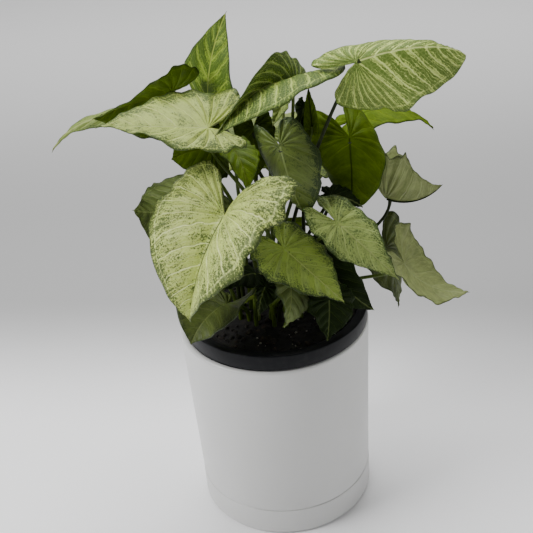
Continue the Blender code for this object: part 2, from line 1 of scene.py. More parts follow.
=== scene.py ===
# %% [markdown]
# # A potted arrowhead vine
#
# The real thing is a bushy house plant in a black nursery pot, which stands in a white cover pot on a
# saucer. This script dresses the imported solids: it loads them as a frame, and then puts a finer piece
# in the place of each. A reader who is learning Blender can run it cell by cell.

# %% Load the frame
import math
import random

import bpy
import numpy as np
from mathutils import Euler, Matrix, Vector, noise


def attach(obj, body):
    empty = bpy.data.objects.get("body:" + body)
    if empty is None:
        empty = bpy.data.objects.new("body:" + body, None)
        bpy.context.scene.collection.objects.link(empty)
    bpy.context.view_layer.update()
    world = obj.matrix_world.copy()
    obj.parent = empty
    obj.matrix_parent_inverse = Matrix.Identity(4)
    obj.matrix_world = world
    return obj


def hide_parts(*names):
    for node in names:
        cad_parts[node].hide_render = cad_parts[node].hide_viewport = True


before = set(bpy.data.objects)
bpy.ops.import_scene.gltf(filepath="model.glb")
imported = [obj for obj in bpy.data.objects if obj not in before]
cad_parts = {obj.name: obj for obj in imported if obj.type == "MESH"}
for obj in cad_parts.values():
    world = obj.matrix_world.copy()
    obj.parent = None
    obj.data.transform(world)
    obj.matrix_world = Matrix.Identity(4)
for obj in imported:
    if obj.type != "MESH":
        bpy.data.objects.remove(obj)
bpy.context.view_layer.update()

# %% [markdown]
# ## The camera
#
# The photograph looks down on the plant from in front, a little turned about its own line of sight.
# A camera holds its three axes as the columns of a matrix, so the view is written as a look
# direction, and the two others follow from it with cross products. That keeps the numbers readable,
# where three Euler angles would hide what each one does.

# %% Set up the camera
EYE = Vector((0, -0.6725, 0.6104))
YAW, PITCH, ROLL = -0.0030, 0.5474, -0.0920
FOCAL_PIXELS, FRAME_PIXELS, SENSOR = 1090, 533, 36

look = Vector((math.sin(YAW) * math.cos(PITCH), math.cos(YAW) * math.cos(PITCH), -math.sin(PITCH)))
level = Vector((math.cos(YAW), -math.sin(YAW), 0))
above = level.cross(look)
right = math.cos(ROLL) * level + math.sin(ROLL) * above
upward = -math.sin(ROLL) * level + math.cos(ROLL) * above

bpy.ops.object.camera_add(location=EYE)
camera = bpy.context.object
camera.name = "photo_camera"
camera.matrix_world = Matrix.Translation(EYE) @ Matrix((right, upward, -look)).transposed().to_4x4()
camera.data.sensor_width = SENSOR
camera.data.lens = FOCAL_PIXELS / FRAME_PIXELS * SENSOR
camera.data.clip_start = 0.01
bpy.context.scene.camera = camera
print("lens", round(camera.data.lens, 1), "mm")

# %% [markdown]
# ## A short way to write materials
#
# A material is a network of nodes, and most of them do sums. Written out one by one they bury the
# idea, so a small class wraps a socket and turns +, -, * and the rest into Math nodes. Python looks
# for the reflected forms, such as __rsub__, when the number stands first, as in 1 - mask.

# %% Wrap a socket
class Wire:
    """An output socket that can be used in sums."""

    def __init__(self, finish, socket):
        self.finish, self.socket = finish, socket

    def out(self, name):
        """Another output of the same node."""
        return Wire(self.finish, self.socket.node.outputs[name])

    def _math(self, operation, *values):
        sockets = dict(enumerate(values))
        return self.finish.node("ShaderNodeMath", {"operation": operation}, sockets)

    def __add__(self, other): return self._math("ADD", self, other)
    def __radd__(self, other): return self._math("ADD", other, self)
    def __sub__(self, other): return self._math("SUBTRACT", self, other)
    def __rsub__(self, other): return self._math("SUBTRACT", other, self)
    def __mul__(self, other): return self._math("MULTIPLY", self, other)
    def __rmul__(self, other): return self._math("MULTIPLY", other, self)
    def __pow__(self, other): return self._math("POWER", self, other)
    def __abs__(self): return self._math("ABSOLUTE", self)

    def part(self):
        """What is left after the decimal point."""
        return self._math("FRACT", self)

    def at_least(self, floor):
        return self._math("MAXIMUM", self, floor)

    def ease(self, low, high):
        """0 below low, 1 above high, and a soft climb between them."""
        return self.finish.node(
            "ShaderNodeMapRange", {"interpolation_type": "SMOOTHSTEP"}, {0: self, 1: low, 2: high})


# %% [markdown]
# The other class holds one material. Its single method for adding a node takes the node's type, then
# its settings, and then the values or wires that go into its sockets. Settings come first because
# some of them, such as a Mix node's data type, change which sockets there are.

# %% Hold a material
class Finish:
    """One material, and the nodes that go into it."""

    def __init__(self, name):
        self.material = bpy.data.materials.new(name)
        self.material.use_nodes = True
        self.nodes = self.material.node_tree.nodes
        self.skin = self.nodes["Principled BSDF"]

    def plug(self, value, socket):
        if isinstance(value, Wire):
            self.material.node_tree.links.new(value.socket, socket)
        elif socket.type == "RGBA":
            socket.default_value = (*value, 1)
        else:
            socket.default_value = value

    def node(self, kind, settings=None, sockets=None, out=0):
        made = self.nodes.new(kind)
        for key, value in (settings or {}).items():
            setattr(made, key, value)
        for key, value in (sockets or {}).items():
            self.plug(value, made.inputs[key])
        return Wire(self, made.outputs[out])

    def set(self, **values):
        """Plugs values into the Principled shader, with underscores for the spaces."""
        for name, value in values.items():
            self.plug(value, self.skin.inputs[name.replace("_", " ")])
        print(self.material.name, "has", len(self.nodes), "nodes")


# %% [markdown]
# Four things are used in nearly every finish: the place on the piece, cloudy noise, a blend of two
# colours, and a bump. Object coordinates are in metres here, because every piece sits at the origin,
# so a noise scale of 100 means cells about a centimetre wide.

# %% Name the usual steps
def place_of(finish):
    return finish.node("ShaderNodeTexCoord", out="Object")


def cloud(finish, place, scale, detail=2.0, rough=0.5):
    sockets = {"Vector": place, "Scale": scale, "Detail": detail, "Roughness": rough}
    return finish.node("ShaderNodeTexNoise", None, sockets)


def blend(finish, share, first, second):
    return finish.node("ShaderNodeMix", {"data_type": "RGBA"}, {0: share, 6: first, 7: second}, out=2)


def bump(finish, height, strength, distance):
    sockets = {"Height": height, "Strength": strength, "Distance": distance}
    return finish.node("ShaderNodeBump", None, sockets)


# %% [markdown]
# ## The floor and the light
#
# The photograph was taken on a pale sweep under soft light, brightest from the upper left. A single
# wide plane is enough for the floor: the camera looks down, so it fills the frame. A wall would hide
# the plant from behind. The sweep turns away from the light behind the pot and looks darker there, so
# that shade is painted into the plane's colour: it darkens softly behind the pot and lightens again
# further off, with the faintest mottling.

# %% Lay the floor
FLOOR_RADIUS, FLOOR_STEPS = 6, 96
NEAR_PAPER, PAINTED_SHADE_PAPER, FAR_PAPER = (0.98, 0.98, 0.99), (0.375, 0.375, 0.375), (0.72, 0.72, 0.72)

bpy.ops.object.select_all(action="DESELECT")
bpy.ops.mesh.primitive_circle_add(vertices=FLOOR_STEPS, radius=FLOOR_RADIUS, fill_type="NGON")
floor = bpy.context.object
floor.name = "pale_floor"

paper = Finish("pale_paper")
spot = place_of(paper)
spot_parts = paper.node("ShaderNodeSeparateXYZ", None, {0: spot})
mottle = cloud(paper, spot, 3, 3) - 0.5
depth = spot_parts.out("Y") + 0.16 * spot_parts + 0.03 * mottle
# Painted shade: the paper's colour darkens behind the pot and lightens again further off, where the sweep
# turns from the light.
shade = blend(paper, depth.ease(0.05, 0.27), NEAR_PAPER, PAINTED_SHADE_PAPER)
shade = blend(paper, depth.ease(0.42, 1.15), shade, FAR_PAPER)
paper.set(Base_Color=shade, Roughness=0.6 + 0.1 * mottle)
floor.data.materials.append(paper.material)

# %% [markdown]
# Soft light comes from large area lamps. The key hangs up on the left, a wide one overhead stands for
# a white ceiling, and a weak one fills in from the right. The world gives the rest.

# %% Hang the lamps
def hang_lamp(name, place, aim, size, power):
    bpy.ops.object.light_add(type="AREA", location=place)
    lamp = bpy.context.object
    lamp.name = name
    lamp.rotation_euler = (Vector(aim) - Vector(place)).to_track_quat("-Z", "Y").to_euler()
    lamp.data.shape = "DISK"
    lamp.data.size = size
    lamp.data.energy = power
    print(name, power, "W")


PLANT_MIDDLE, WORLD_LIGHT = (0, 0, 0.2), 0.22
hang_lamp("key_lamp", (-1.2, -0.35, 1.35), PLANT_MIDDLE, 0.8, 25)
hang_lamp("ceiling_lamp", (0.1, 0.85, 1.85), PLANT_MIDDLE, 1.6, 40)
hang_lamp("fill_lamp", (1.6, -0.9, 0.9), PLANT_MIDDLE, 1.4, 5)

world = bpy.data.worlds.new("pale_room")
bpy.context.scene.world = world
world.use_nodes = True
backdrop = world.node_tree.nodes["Background"].inputs
backdrop["Color"].default_value = (1, 1, 1, 1)
backdrop["Strength"].default_value = WORLD_LIGHT
print("pale_room", WORLD_LIGHT)

# %% [markdown]
# ## Turned pots
#
# Saucer, cover pot and nursery pot are all round, so each is made like work on a lathe, from rings.
# When the last ring is made, the first one is still open. It is picked out by its place, because
# nothing else tells it from the others, and closed into a point. Then the normals are made to face
# outwards, and only edges sharper than 35 degrees stay sharp.

# %% Close and smooth
NEAR_AXIS, SAME_PLACE = 0.0005, 1e-5
SHARP_EDGE = math.radians(35)


def pick_ring(piece, radius, height):
    bpy.ops.mesh.select_all(action="DESELECT")
    bpy.ops.mesh.select_mode(type="VERT")
    bpy.ops.object.mode_set(mode="OBJECT")
    for vertex in piece.data.vertices:
        away = abs(math.hypot(vertex.co.x, vertex.co.y) - radius)
        vertex.select = max(away, abs(vertex.co.z - height)) < SAME_PLACE
    bpy.ops.object.mode_set(mode="EDIT")


def close_turned(piece, outline):
    if outline[0][0] <= NEAR_AXIS:
        pick_ring(piece, *outline[0])
        bpy.ops.mesh.merge(type="COLLAPSE")
    bpy.ops.mesh.select_all(action="SELECT")
    bpy.ops.mesh.remove_doubles(threshold=SAME_PLACE)
    bpy.ops.mesh.normals_make_consistent(inside=False)
    bpy.ops.object.mode_set(mode="OBJECT")
    bpy.ops.object.shade_smooth_by_angle(angle=SHARP_EDGE)
    print(piece.name, len(piece.data.polygons), "faces")


# %% [markdown]
# A circle is added, and then extruded and resized from one point of the outline to the next. Spin
# would do the same in one step, but rings give a mesh whose edges lie where the eye expects them. A
# ring that ends near the axis is collapsed into a point. Each finished piece takes a solid's place.

# %% Turn an outline
POT_STEPS = 192


def quarter(centre, radius, start, steps=5):
    """Points of a quarter circle, as (radius, height), turning anticlockwise from start degrees."""
    turns = [math.radians(start + 90 * step / steps) for step in range(steps + 1)]
    return [(centre[0] + radius * math.cos(t), centre[1] + radius * math.sin(t)) for t in turns]


def turned(name, outline):
    bpy.ops.object.select_all(action="DESELECT")
    now = outline[0]
    bpy.ops.mesh.primitive_circle_add(vertices=POT_STEPS, radius=now[0], location=(0, 0, now[1]))
    piece = bpy.context.object
    piece.name = name
    bpy.ops.object.transform_apply()
    bpy.ops.object.mode_set(mode="EDIT")
    bpy.ops.mesh.select_all(action="SELECT")
    for goal in outline[1:]:
        rise = {"value": (0, 0, goal[1] - now[1])}
        bpy.ops.mesh.extrude_edges_move(TRANSFORM_OT_translate=rise)
        bpy.ops.transform.resize(value=(goal[0] / now[0], goal[0] / now[0], 1))
        now = goal
    if now[0] <= NEAR_AXIS:
        bpy.ops.mesh.merge(type="COLLAPSE")
    close_turned(piece, outline)
    return piece


def put_in_place(piece, node):
    """The piece stands for a solid, which is hidden, and rides on the one body."""
    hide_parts(node)
    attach(piece, "root")


# %% [markdown]
# ## The saucer
#
# The real saucer is a low white dish whose side is flush with the pot. Its foot is rounded, and the
# fine line under the pot is the small bevel on its rim, so both are part of the outline.

# %% Make the saucer
GAP = 0.0003
SAUCER_RADIUS, SAUCER_HEIGHT = 0.0663, 0.0233
SAUCER_WALL, SAUCER_FLOOR, SAUCER_EDGE, SAUCER_LIP = 0.005, 0.006, 0.0035, 0.0008
BOWL_RADIUS = SAUCER_RADIUS - SAUCER_WALL

saucer = turned("white_saucer", [
    (NEAR_AXIS, 0),
    *quarter((SAUCER_RADIUS - SAUCER_EDGE, SAUCER_EDGE), SAUCER_EDGE, -90, 8),
    *quarter((SAUCER_RADIUS - SAUCER_LIP, SAUCER_HEIGHT - SAUCER_LIP), SAUCER_LIP, 0),
    (BOWL_RADIUS, SAUCER_HEIGHT), (BOWL_RADIUS - 0.001, SAUCER_FLOOR + 0.002),
    (BOWL_RADIUS - 0.003, SAUCER_FLOOR), (NEAR_AXIS, SAUCER_FLOOR),
])
put_in_place(saucer, "saucer")

# %% [markdown]
# ## The cover pot
#
# Its wall leans out a little towards a softly rounded rim. The outline runs from the middle of its
# foot round the outside, over the rim and down the inside to the middle of its floor.

# %% Make the cover pot
RIM_RADIUS, RIM_TOP, RIM_EDGE = 0.070, 0.1564, 0.0022
SIDE_FOOT_RADIUS, POT_WALL, INNER_EDGE = 0.0661, 0.0048, 0.0018
POT_FOOT_RADIUS, POT_FLOOR = 0.0585, 0.0075
FOOT_RING_WIDTH, FOOT_RECESS, SIDE_EDGE = 0.008, 0.003, 0.0006

foot = SAUCER_FLOOR + GAP
shoulder = SAUCER_HEIGHT + GAP
pot_floor = foot + FOOT_RECESS + POT_FLOOR
ring_inside = POT_FOOT_RADIUS - FOOT_RING_WIDTH
inside_foot = SIDE_FOOT_RADIUS - POT_WALL
rim_inside = RIM_RADIUS - POT_WALL + INNER_EDGE
cover_pot = turned("white_cover_pot", [
    (NEAR_AXIS, foot + FOOT_RECESS), (ring_inside, foot + FOOT_RECESS),
    (ring_inside, foot), (POT_FOOT_RADIUS, foot), (POT_FOOT_RADIUS, shoulder),
    *quarter((SIDE_FOOT_RADIUS - SIDE_EDGE, shoulder + SIDE_EDGE), SIDE_EDGE, -90, 4),
    *quarter((RIM_RADIUS - RIM_EDGE, RIM_TOP - RIM_EDGE), RIM_EDGE, 0, 7),
    *quarter((rim_inside, RIM_TOP - INNER_EDGE), INNER_EDGE, 90),
    (inside_foot, pot_floor + 0.006), (inside_foot - 0.005, pot_floor), (NEAR_AXIS, pot_floor),
])
put_in_place(cover_pot, "cover_pot")

# %% [markdown]
# ## The white finish
#
# Both white pieces have the same smooth satin coat. Real white ware isn't one flat white: it is a
# touch warmer in broad patches, and its gloss varies where it was handled. Two clouds of noise do
# that, one for the colour and one for the roughness, and a third gives the faint unevenness that
# softens reflections.

# %% Finish the white ware
white = Finish("white_satin_ware")
spot = place_of(white)
patches = cloud(white, spot, 14, 3)
handling = cloud(white, spot, 40, 4).ease(0.3, 0.8)
white.set(
    Base_Color=blend(white, patches, (0.62, 0.62, 0.602), (0.69, 0.69, 0.682)),
    Roughness=0.34 + 0.12 * handling,
    Normal=bump(white, cloud(white, spot, 90, 3), 0.12, 0.0006),
    Coat_Weight=0.12, Coat_Roughness=0.25,
)
saucer.data.materials.append(white.material)
cover_pot.data.materials.append(white.material)

# %% [markdown]
# ## The nursery pot
#
# The black pot is thin moulded plastic. Only its collar shows, resting on the white rim a little
# askew, so the pot is turned upright first and then its mesh is tilted and shifted with one matrix.
# The object itself stays at the origin.

# %% Make the nursery pot
COLLAR_RADIUS, COLLAR_HEIGHT, COLLAR_WALL, COLLAR_EDGE = 0.0682, 0.0118, 0.0016, 0.0008
LINER_RADIUS, LINER_FOOT_RADIUS, LINER_FOOT = 0.0622, 0.048, 0.042
LINER_WALL, LINER_CORNER, LINER_TILT = 0.0014, 0.003, math.radians(0.9)
LINER_SHIFT = Vector((0.0012, -0.0005, 0))
COLLAR_FOOT = RIM_TOP + GAP + COLLAR_RADIUS * math.sin(LINER_TILT)
LINER_TOP = COLLAR_FOOT + COLLAR_HEIGHT

under = LINER_TOP - COLLAR_WALL
skirt, half_edge = COLLAR_RADIUS - COLLAR_WALL, COLLAR_EDGE / 2
liner_floor, liner_inside = LINER_FOOT + LINER_WALL, LINER_FOOT_RADIUS - LINER_WALL
nursery_pot = turned("black_nursery_pot", [
    (NEAR_AXIS, LINER_FOOT), (LINER_FOOT_RADIUS - LINER_CORNER, LINER_FOOT),
    (LINER_FOOT_RADIUS, LINER_FOOT + LINER_CORNER), (LINER_RADIUS, under - 0.004),
    (LINER_RADIUS + 0.0008, under), (skirt, under), (skirt, COLLAR_FOOT),
    *quarter((COLLAR_RADIUS - half_edge, COLLAR_FOOT + half_edge), half_edge, -90, 3),
    *quarter((COLLAR_RADIUS - COLLAR_EDGE, LINER_TOP - COLLAR_EDGE), COLLAR_EDGE, 0),
    (LINER_RADIUS + 0.0004, LINER_TOP), (LINER_RADIUS - 0.0006, LINER_TOP - 0.0005),
    (LINER_RADIUS - LINER_WALL, LINER_TOP - 0.0014), (liner_inside, liner_floor + LINER_CORNER),
    (liner_inside - LINER_CORNER, liner_floor), (NEAR_AXIS, liner_floor),
])

# %% Tilt the nursery pot
pivot = Vector((0, 0, RIM_TOP + GAP))
lean = Matrix.Rotation(LINER_TILT, 4, "Y")
askew = Matrix.Translation(pivot + LINER_SHIFT) @ lean @ Matrix.Translation(-pivot)
nursery_pot.data.transform(askew)
put_in_place(nursery_pot, "nursery_pot")
print("collar top", round(max(v.co.z for v in nursery_pot.data.vertices), 4))

# %% [markdown]
# Moulded black plastic is dark grey rather than black, with a soft sheen and dust that turns it
# paler in places. The dust is a cloud that also raises the roughness.

# %% Finish the black plastic
plastic = Finish("black_moulded_plastic")
spot = place_of(plastic)
dust = cloud(plastic, spot, 160, 5, 0.65).ease(0.45, 0.85)
plastic.set(
    Base_Color=blend(plastic, dust, (0.006, 0.0065, 0.008), (0.018, 0.018, 0.019)),
    Roughness=0.36 + 0.25 * dust,
    Normal=bump(plastic, cloud(plastic, spot, 900, 2), 0.15, 0.0003),
    Specular_IOR_Level=0.12,
)
nursery_pot.data.materials.append(plastic.material)

# %% [markdown]
# ## The soil
#
# Potting soil is a low mound of crumbs. The mound is turned like the pots, with many rings across its
# top, and each of those points is then lifted by noise of three sizes. A displace modifier could do
# that too, but it would also move the hidden sides.

# %% Make the soil
SOIL_TOP, SOIL_MOUND, SOIL_RINGS = 0.163, 0.0015, 56
SOIL_LUMPS = ((0.0011, 70, 0), (0.0010, 260, 0.3), (0.0005, 700, 0.7))
SOIL_FOOT = liner_floor + GAP
liner_slope = (LINER_RADIUS - LINER_FOOT_RADIUS) / (LINER_TOP - LINER_FOOT)
soil_foot_radius = liner_inside - GAP - LINER_CORNER * liner_slope
soil_radius = soil_foot_radius + liner_slope * (SOIL_TOP - SOIL_FOOT)
soil = turned("loose_soil", [
    (NEAR_AXIS, SOIL_FOOT), (soil_foot_radius - LINER_CORNER, SOIL_FOOT),
    (soil_foot_radius, SOIL_FOOT + LINER_CORNER),
    *[(soil_radius * (1 - ring / SOIL_RINGS), SOIL_TOP) for ring in range(SOIL_RINGS)],
    (NEAR_AXIS, SOIL_TOP),
])


def soil_height(x, y):
    """The mound with its lumps, crumbs and grains, which die out at the pot's wall."""
    away = math.hypot(x, y) / soil_radius
    rough = sum(tall * noise.noise(Vector((x, y, z)) * scale) for tall, scale, z in SOIL_LUMPS)
    return SOIL_TOP + SOIL_MOUND * (1 - away * away) + max(0, 1 - away**8) * rough


for vertex in soil.data.vertices:
    if vertex.co.z > SOIL_TOP - SAME_PLACE:
        vertex.co.z = soil_height(vertex.co.x, vertex.co.y)
soil.data.transform(askew)
put_in_place(soil, "soil")
print("soil rises to", round(max(v.co.z for v in soil.data.vertices), 4))

# %% [markdown]
# Crumbs and chips lie loose on the mound. One lump is modelled once: an ico sphere whose points are
# pushed about by noise. Every copy has its own mesh, turned, stretched and placed by a seeded draw,
# and joining them leaves one piece for each finish.

# %% Scatter lumps
DENT, DENT_SCALE, SPREAD, SINK = 0.45, 1.7, 0.96, 0.3
LUMP_EDGE = math.radians(50)


def scatter(name, count, small, large, flat, seed):
    """Copies of one lump on the mound, joined into a single piece."""
    draw = random.Random(seed)
    bpy.ops.object.select_all(action="DESELECT")
    bpy.ops.mesh.primitive_ico_sphere_add(subdivisions=2, radius=1)
    first = bpy.context.object
    for vertex in first.data.vertices:
        vertex.co *= 1 + DENT * noise.noise(vertex.co * DENT_SCALE + Vector((seed, 0, 0)))
    lumps = [first]
    for _ in range(count - 1):
        copy = first.copy()
        copy.data = first.data.copy()
        bpy.context.scene.collection.objects.link(copy)
        lumps.append(copy)
    for lump in lumps:
        away = soil_radius * SPREAD * math.sqrt(draw.random())
        turn = draw.uniform(0, 2 * math.pi)
        x, y = away * math.cos(turn), away * math.sin(turn)
        size = draw.uniform(small, large)
        tall = size * draw.uniform(flat, 1)
        pose = Euler([draw.uniform(-0.5, 0.5), draw.uniform(-0.5, 0.5), draw.uniform(0, 6.28)]).to_matrix()
        shape = Matrix.Diagonal((size, size * draw.uniform(0.5, 1), tall, 1))
        spot = Vector((x, y, soil_height(x, y) + tall * (0.5 - SINK)))
        lump.data.transform(askew @ Matrix.Translation(spot) @ pose.to_4x4() @ shape)
        lump.select_set(True)
    bpy.context.view_layer.objects.active = first
    bpy.ops.object.join()
    first.name = name
    bpy.ops.object.shade_smooth_by_angle(angle=LUMP_EDGE)
    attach(first, "root")
    print(name, count, "lumps,", len(first.data.polygons), "faces")
    return first


soil_crumbs = scatter("soil_crumbs", 320, 0.0007, 0.0022, 0.5, 3)
bark_chips = scatter("bark_chips", 60, 0.0012, 0.0034, 0.25, 8)
pale_bits = scatter("pale_bits", 46, 0.0004, 0.0011, 0.5, 15)

# %% [markdown]
# Soil is nearly black where it is moist and brown where it has dried, and nothing in it shines. The
# chips are a warmer brown, and the few pale bits are the mineral grains that growers mix in.

# %% Finish the soil
def earth(name, moist, dry, scale):
    finish = Finish(name)
    spot = place_of(finish)
    dried = cloud(finish, spot, scale, 5, 0.7).ease(0.45, 0.75)
    grain = cloud(finish, spot, 1400, 3, 0.7)
    finish.set(Base_Color=blend(finish, dried, moist, dry), Roughness=0.95,
               Normal=bump(finish, grain, 0.6, 0.0006))
    return finish.material


soil.data.materials.append(earth("moist_soil", (0.004, 0.0035, 0.003), (0.016, 0.012, 0.009), 120))
soil_crumbs.data.materials.append(earth("soil_crumb", (0.005, 0.004, 0.003), (0.03, 0.022, 0.015), 200))
bark_chips.data.materials.append(earth("bark_chip", (0.012, 0.008, 0.005), (0.05, 0.032, 0.018), 260))
pale_bits.data.materials.append(earth("pale_grain", (0.20, 0.19, 0.16), (0.45, 0.43, 0.38), 500))

# %% [markdown]
# ## How a leaf is described
#
# All the leaves are one arrowhead, bent by a few measures. Half of the flat outline is given once,
# from the notch where the stalk joins, back round a lobe and on to the tip. A smooth curve through
# those points gives the margin at any time from 0 to 1.

# %% The flat outline
HALF_OUTLINE = (
    (0, 0), (-0.16, 0.03), (-0.33, 0.13), (-0.41, 0.33), (-0.36, 0.57), (-0.18, 0.83),
    (0.06, 0.98), (0.30, 0.95), (0.53, 0.70), (0.75, 0.38), (0.90, 0.14), (1, 0),
)
OUTLINE_LOBE = 0.41
VEIN_LEAN = 0.35


def smooth_through(points, times):
    """A smooth curve through the points (Catmull-Rom), at times from 0 to 1."""
    given = np.asarray(points, float)
    ends = np.vstack([2 * given[0] - given[1], given, 2 * given[-1] - given[-2]])
    time = np.asarray(times, float) * (len(given) - 1)
    first = np.minimum(time.astype(int), len(given) - 2)
    f = (time - first)[:, None]
    a, b, c, d = ends[first], ends[first + 1], ends[first + 2], ends[first + 3]
    return 0.5 * (
        2 * b + (c - a) * f + (2 * a - 5 * b + 4 * c - d) * f**2 + (3 * b - a - 3 * c + d) * f**3
    )


print("outline of", len(HALF_OUTLINE), "points")

# %% [markdown]
# ## The leaves' measures
#
# Each leaf has a base, where the stalk joins the blade, a tip, and the way its upper face looks. The
# rest bend a flat arrowhead. Lengths are millimetres and turns are degrees. width is across the widest
# part, and left and right are each half's share of half of it. lobe is how far the lobes reach back
# against the length, and splay is how far they spread. arch bends the leaf from base to tip. fold
# raises each half from the midrib, and cup curls it back down by its margin. twist turns it about
# the midrib, lift raises a lobe, and tip_curl the tip. wave and waves are the height and the number
# of the margin's waves, and drip is the length of the thread at the tip.
#
# stalk holds the place where the stalk leaves the soil, how far it climbs before it leans, how far
# below the blade it aims, and how upright it arrives, from 0 for square to the blade to 1 for straight
# up. skin and under name the finishes of the two faces, stem that of the stalk, and slot their slot.
# The upper leaves are pale and speckled; those in the shade below are deep green from painted shade.

# %% Write a leaf down
USUAL = dict(left=1, right=1, lobe=0.4, lobe_l=1, lobe_r=1, splay_l=0.15, splay_r=0.15, arch=30,
             fold_l=10, fold_r=10, cup=20, twist=0, lift_l=0, lift_r=0, tip_curl=0, wave=1.5, waves=3,
             drip=1, under="green_under", stem="green_stalk")
LENGTHS = ("base", "tip", "width", "wave", "drip")
LEAVES = {}


def leaf(name, **measures):
    """Keeps a leaf's measures, with its lengths in metres."""
    kept = {**USUAL, **measures}
    LEAVES[name] = {key: np.asarray(kept[key]) / 1000 if key in LENGTHS else kept[key] for key in kept}
    print(name, kept["width"], "mm wide")


# %% [markdown]
# These make the plant's outline in the photograph: the big speckled leaf in front, the level one
# on the left, and the two netted ones that lean out over the top.

# %% The large upper leaves
leaf("leaf_front_large", base=(-26, -54, 274), tip=(-55, -75, 209), face=(-0.3, -0.5, 0.85), width=107,
     lobe=0.42, splay_l=0.7, splay_r=0.4, arch=50, fold_l=60, fold_r=35, cup=70, lift_l=15, lift_r=-20,
     twist=5, stalk=(1, -6, 50, 45, 0.35), skin="speckled", under="pale_under", drip=3,
     slot="pale_leaf")
leaf("leaf_left_level", base=(-32, -12, 318), tip=(-100, -21, 330), face=(0, -0.15, 1), width=85,
     left=0.6, right=0.95, lobe=0.34, splay_l=0.3, splay_r=0.3, arch=2, fold_r=22, cup=30, lift_r=10,
     twist=-10, stalk=(9, -24, 120, 40, 0.8), skin="speckled_level", under="pale_under", drip=5,
     slot="pale_leaf")
leaf("leaf_left_folded", base=(-57, 49, 321), tip=(-110, 18, 319), face=(0.15, -1, 0.05), width=73,
     left=0.9, right=1.1, lobe=0.3, splay_r=0.1, arch=-30, fold_l=15, fold_r=50, cup=5, twist=20,
     stalk=(-21, 5, 110, 55, 0.8), skin="dark", stem="dark_stalk", drip=2, slot="dark_leaf")
leaf("leaf_far_left", base=(-66.5, 62, 301), tip=(-146.4, 56, 288.7), face=(0, -0.3, 1), width=27,
     left=0.8, splay_r=0, arch=60, fold_l=-15, fold_r=-15, cup=30, tip_curl=45, twist=15,
     stalk=(-8, -1, 120, 40, 0.6), skin="soft_pale", drip=4, slot="pale_leaf")
leaf("leaf_top_upright", base=(-32, 52, 300), tip=(-14, 52, 373), face=(-0.5, -0.8, 0.3), width=62,
     left=0.9, lobe=0.25, splay_l=0, splay_r=0, arch=60, fold_l=-15, fold_r=40, twist=-35,
     stalk=(18, 2, 120, 15, 0.8), skin="netted_green", stem="dark_stalk", drip=3, slot="fresh_leaf")
leaf("leaf_top_middle", base=(27, 9, 335), tip=(-26, -47, 328), face=(-0.2, -0.5, 0.85), width=66,
     left=1.3, right=0.6, lobe=0.42, splay_r=0.1, arch=75, fold_l=55, fold_r=75, cup=30, twist=55,
     stalk=(-4, 24, 15, 40, 0), skin="netted", under="pale_under", drip=2, slot="veined_leaf")
leaf("leaf_top_right", base=(66, -24, 359), tip=(140, 0, 347), face=(0.05, -0.7, 0.7), width=71,
     left=0.6, right=1.3, lobe=0.42, lobe_l=0.8, lobe_r=0.7, splay_l=0.1, splay_r=0.2, arch=90,
     fold_l=0, fold_r=-25, cup=70, twist=45, stalk=(10, 24, 50, 16, 0), skin="netted_pale",
     under="pale_under", stem="dark_stalk", slot="veined_leaf")

# %% [markdown]
# They droop and hang on the far side of the tall stalk, and some show their undersides.

# %% The leaves on the right
leaf("leaf_right_drooping", base=(71, 68, 279), tip=(128, 53, 273), face=(0, 0, 1), width=66, arch=85,
     fold_l=5, fold_r=0, cup=30, twist=20, stalk=(4, 6, 30, 55, 1), skin="fresh", stem="dark_stalk",
     drip=2, slot="fresh_leaf")
leaf("leaf_right_hanging", base=(63, 12, 291), tip=(62, 19, 234), face=(0, -0.9, 0.4), width=81,
     left=0.8, right=1.05, lobe=0.45, lobe_l=1.15, lobe_r=0.9, splay_l=-0.1, splay_r=0.3, arch=100,
     fold_l=0, fold_r=-5, cup=80, lift_l=-25, lift_r=-10, twist=-35, stalk=(16, 18, 15, 45, 0.7),
     skin="sunny", stem="dark_stalk", drip=2, slot="dark_leaf")
leaf("leaf_right_underside", base=(91, 40, 226), tip=(132, 41, 232), face=(0.1, 0.6, 0.8), width=101,
     left=1.2, right=0.95, lobe=0.38, splay_l=0.25, splay_r=0.45, arch=-70, fold_l=30, fold_r=15,
     cup=-35, lift_r=5, twist=20, stalk=(12, 10, 30, 35, 0.8), skin="pale_under", under="pale_under",
     stem="dark_stalk", drip=2, slot="fresh_leaf")
leaf("leaf_behind_right", base=(87, 24, 193), tip=(94, 6, 152), face=(0.7, -0.65, 0.3), width=63,
     lobe=0.48, lobe_l=1.1, splay_l=0.2, fold_l=0, fold_r=5, twist=30, stalk=(12, -18, 50, 55, 0),
     skin="dull_dark", stem="dark_stalk", drip=2, slot="shaded_leaf")
leaf("leaf_far_right", base=(96, -12, 200), tip=(141, -18, 175), face=(0, 0, 1), width=65, splay_l=0.2,
     arch=-70, fold_l=0, fold_r=-15, cup=-40, twist=10, stalk=(26, -8, 30, 20, 0), skin="pale_under",
     under="pale_under", drip=2, slot="olive_leaf")
leaf("leaf_right_front", base=(49, -27, 246), tip=(87, -48, 210), face=(0, -0.7, 0.7), width=36,
     lobe=0.42, arch=15, cup=15, lift_l=-15, twist=-50, stalk=(8, -5, 50, 16, 0.35), skin="mid_pale",
     under="pale_under", drip=2, slot="pale_leaf")

# %% [markdown]
# Smaller leaves fill the middle, some in the shade of the large ones.

